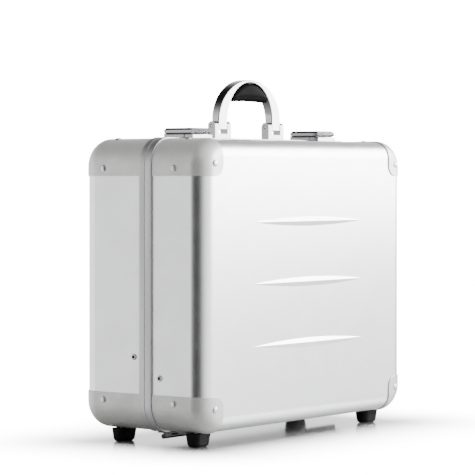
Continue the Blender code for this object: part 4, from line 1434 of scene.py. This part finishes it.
@dataclass
class Linings:
    """Cloth-covered trays inside the shells, with a quilted pad on each large face."""

    thick: float = 1.5
    pad_size: tuple[float, float] = (396.0, 312.0)
    cells: tuple[int, int] = (6, 5)
    cell_steps: int = 12
    swelling: float = 2.2
    screw_hole: tuple[float, float] = (3.9, 8.0)   # radius, and length of the cutter
    stay_hole: tuple[float, float] = (4.1, 14.0)
    pad_gap: float = 0.4
    cloth: float = 0.5
    seam: float = 0.3                  # half the width of a seam, in steps of the grid

    def tray(self, half: Half) -> None:
        """The thin tray that covers the walls, with holes over the screws and the stays' rivets.

        Args:
            half: Lid or base.
        """
        tray = half.blank(f"{half.name}_lining_tray", -WALL - GAP, half.strip_y + half.outward * GAP)
        tray.thicken(self.thick)
        for side, sign in SIDES.items():
            screw = node_box(f"foot_screw_{half.name}_{side}")[2]
            stay = node_box(f"stay_{side}_{half.name}_rivet")[2]
            radius, length = self.screw_hole
            tray.cut(Workpiece.rod("screw_hole", (screw.x, screw.y, BOTTOM_Z + length / 2), "z",
                                   (radius,) * 2, length))
            radius, length = self.stay_hole
            tray.cut(Workpiece.rod("stay_hole", (sign * END_X, stay.y, stay.z), "x",
                                   (radius,) * 2, length))
        tray.finish(half.name, LINING_CLOTH, "lining", f"{half.name}_lining")

    def on_seam(self, item: Item) -> bool:
        """Says whether a vertex of a pad lies on one of its seams.

        Args:
            item: The vertex.

        Returns:
            True where it does.
        """
        point = item.co / MM
        pitch = [size / count for size, count in zip(self.pad_size, self.cells)]
        across = (point.x + self.pad_size[0] / 2) / pitch[0]
        up = (point.z - MIDDLE_Z + self.pad_size[1] / 2) / pitch[1]
        off = min(abs(across - round(across)), abs(up - round(up)))
        return off < self.seam / self.cell_steps

    def pad(self, half: Half) -> None:
        """A quilted pad: cloth held along its seams and blown up between them.

        Args:
            half: Lid or base.
        """
        y = half.face_y - half.outward * (WALL + GAP + self.thick + self.pad_gap)
        put_down()
        steps = [count * self.cell_steps for count in self.cells]
        bpy.ops.mesh.primitive_grid_add(x_subdivisions=steps[0], y_subdivisions=steps[1], size=1)
        pad = Workpiece._added(f"{half.name}_quilted_pad")
        size = Matrix.Diagonal((self.pad_size[0] * MM, self.pad_size[1] * MM, 1, 1))
        stand = Matrix.Rotation(-half.outward * math.pi / 2, 4, "X")
        pad.place(Matrix.Translation((0, y * MM, MIDDLE_Z * MM)) @ stand @ size)
        swell(pad, pressure=9.0, most=self.swelling, frames=12, pinned=self.on_seam)
        pad.modify("SOLIDIFY", thickness=self.cloth * MM, offset=-1)
        pad.modify("SUBSURF", levels=1, render_levels=1)
        pad.finish(half.name, LINING_CLOTH, "lining", smooth=80)

    def build(self) -> None:
        """Model and dress the linings."""
        for half in (LID, BASE):
            self.tray(half)
            self.pad(half)


# ---- stage and camera ---------------------------------------------------------------------------
@dataclass(frozen=True)
class Card:
    """A rectangular light that the camera doesn't see. Lengths are in metres."""

    name: str
    place: tuple[float, float, float]
    aim: tuple[float, float, float]    # the point that it faces
    size: tuple[float, float]
    radiance: float
    mirrored: bool                     # whether metal may reflect it

    def add(self) -> None:
        """Put the light on the stage."""
        width, height = self.size
        data = bpy.data.lights.new(self.name, "AREA")
        data.shape = "RECTANGLE"
        data.size, data.size_y = width, height
        data.energy = self.radiance * math.pi * width * height
        made = bpy.data.objects.new(self.name, data)
        made.location = self.place
        facing = Vector(self.aim) - Vector(self.place)
        made.rotation_euler = facing.to_track_quat("-Z", "Y").to_euler()
        made.visible_glossy, made.visible_camera = self.mirrored, False
        bpy.context.scene.collection.objects.link(made)


CARDS = (
    Card("front_card", place=(0.84, -0.86, 0.72), aim=(0.0, 0.0, 0.72), size=(1.5, 0.84),
         radiance=14.0, mirrored=True),
    Card("ceiling", place=(-0.2, -0.4, 2.2), aim=(-0.05, -0.1, 0.0), size=(1.8, 1.8),
         radiance=2.0, mirrored=False),
    Card("fill", place=(-1.7, 0.9, 1.4), aim=(-0.2, 0.0, 0.4), size=(1.0, 1.0),
         radiance=5.5, mirrored=False),
)


@dataclass
class Studio:
    """Floor, lights, surroundings and camera."""

    camera: tuple[float, float, float] = (-2.533, -1.856, 0.3305)
    heading: float = -53.5             # degrees from +Y
    lens: float = 182.2
    shift: float = -0.1253
    walls: float = 2.10                # brightness of the surroundings that the metal reflects
    backdrop: float = 16.5             # brightness of the backdrop
    shadow: tuple[float, float, float] = (0.02, 0.02, 0.021)   # the dark parts of the surroundings
    strip: tuple[float, float, float, float] = (-38.0, -24.0, 30.0, 85.0)   # degrees from -X
    strip_top: tuple[float, float] = (0.5, 0.8)        # height over which the dark strip fades
    ceiling_z: tuple[float, float] = (0.10, 0.78)      # height over which the dark ceiling sets in
    ceiling_y: tuple[float, float] = (-0.60, -0.05)    # and depth, from front to back
    flag_way: tuple[float, float, float] = (0.966, 0.259, 0.0)
    flag_edge: tuple[float, float] = (0.80, 0.95)      # cosines over which the dark flag sets in
    flag_top: tuple[float, float] = (0.03, 0.09)       # height over which it fades
    floor_radius: float = 3.0
    floor_tone: float = 0.36
    floor_roughness: float = 0.22
    floor_coat_roughness: float = 0.12
    floor_core: tuple[float, float, float] = (0.20, 0.07, 0.0)  # half size of its solid middle
    floor_fade: float = 0.22           # width of the fade round the middle

    def build(self) -> None:
        """Set up the stage."""
        self.add_camera()
        self.add_world()
        self.add_floor()
        for card in CARDS:
            card.add()

    def add_camera(self) -> None:
        """A long lens that looks level at the corner between the lid and an end."""
        data = bpy.data.cameras.new("view")
        data.lens, data.shift_y = self.lens, self.shift
        data.clip_start, data.clip_end = 0.05, 60
        made = bpy.data.objects.new("view", data)
        made.location = self.camera
        made.rotation_euler = (math.pi / 2, 0, math.radians(self.heading))
        bpy.context.scene.collection.objects.link(made)
        bpy.context.scene.camera = made

    def add_world(self) -> None:
        """Pale surroundings with a dark strip beside the camera, a dark flag and a dark ceiling."""
        world = bpy.data.worlds.new("studio")
        world.use_nodes = True
        bpy.context.scene.world = world
        sheet = NodeSheet(world.node_tree)
        background = world.node_tree.nodes["Background"]
        way = sheet.add("TexCoord").outputs["Generated"]
        split = sheet.add("SeparateXYZ", {0: way}).outputs
        ceiling = sheet.maths("MULTIPLY", sheet.ramp(split["Z"], *self.ceiling_z),
                              sheet.ramp(split["Y"], *self.ceiling_y))
        azimuth = sheet.maths("ARCTAN2", sheet.maths("MULTIPLY", split["Y"], -1.0),
                              sheet.maths("MULTIPLY", split["X"], -1.0))
        start, full, fading, end = (math.radians(angle) for angle in self.strip)
        strip = sheet.maths("MULTIPLY", sheet.ramp(azimuth, start, full),
                            sheet.ramp(azimuth, end, fading))
        strip = sheet.maths("MULTIPLY", strip, sheet.ramp(split["Z"], *reversed(self.strip_top)))
        flag = sheet.add("VectorMath", {0: way, 1: self.flag_way},
                         operation="DOT_PRODUCT").outputs["Value"]
        flag = sheet.maths("MULTIPLY", sheet.ramp(flag, *self.flag_edge),
                           sheet.ramp(split["Z"], *reversed(self.flag_top)))
        dark = sheet.maths("MAXIMUM", sheet.maths("MAXIMUM", ceiling, strip), flag)
        tone = sheet.mix(dark, (*(self.walls,) * 3, 1.0), (*self.shadow, 1.0))
        seen = sheet.add("LightPath").outputs["Is Camera Ray"]
        tone = sheet.mix(seen, tone, (*(self.backdrop,) * 3, 1.0))
        world.node_tree.links.new(tone, background.inputs["Color"])

    def add_floor(self) -> None:
        """A pale, slightly glossy disc that fades into the surroundings."""
        put_down()
        bpy.ops.mesh.primitive_circle_add(vertices=96, radius=self.floor_radius, fill_type="NGON")
        floor = bpy.context.active_object
        floor.name = "floor"
        made = bpy.data.materials.new("pale_floor")
        made.use_nodes = True
        sheet = NodeSheet(made.node_tree)
        shader = made.node_tree.nodes["Principled BSDF"]
        for socket, value in (("Base Color", (*(self.floor_tone,) * 3, 1.0)),
                              ("Roughness", self.floor_roughness), ("Coat Weight", 1.0),
                              ("Coat Roughness", self.floor_coat_roughness)):
            shader.inputs[socket].default_value = value
        spread = sheet.add("TexCoord").outputs["Object"]
        for operation, term in (("ABSOLUTE", (0.0, 0.0, 0.0)), ("SUBTRACT", self.floor_core),
                                ("MAXIMUM", (0.0, 0.0, 0.0))):
            spread = sheet.add("VectorMath", {0: spread, 1: term}, operation=operation).outputs["Vector"]
        reach = sheet.add("VectorMath", {0: spread}, operation="LENGTH").outputs["Value"]
        fade = sheet.ramp(reach, 0.0, self.floor_fade)
        clear = sheet.add("BsdfTransparent")
        joined = sheet.add("MixShader", {0: fade, 1: shader.outputs[0], 2: clear.outputs[0]})
        out = made.node_tree.nodes["Material Output"]
        made.node_tree.links.new(joined.outputs[0], out.inputs["Surface"])
        floor.data.materials.append(made)


def main() -> None:
    """Build the visual model piece by piece."""
    logging.basicConfig(level=logging.INFO, format="%(name)s %(message)s")
    put_down()
    Studio().build()
    for assembly in (Shells(), Frames(), CornerCaps(), Feet(), Hinges(), Handle(), Latches(), Stays(),
                     Linings()):
        LOG.info("building %s", type(assembly).__name__)
        assembly.build()


if __name__ == "__main__":
    main()
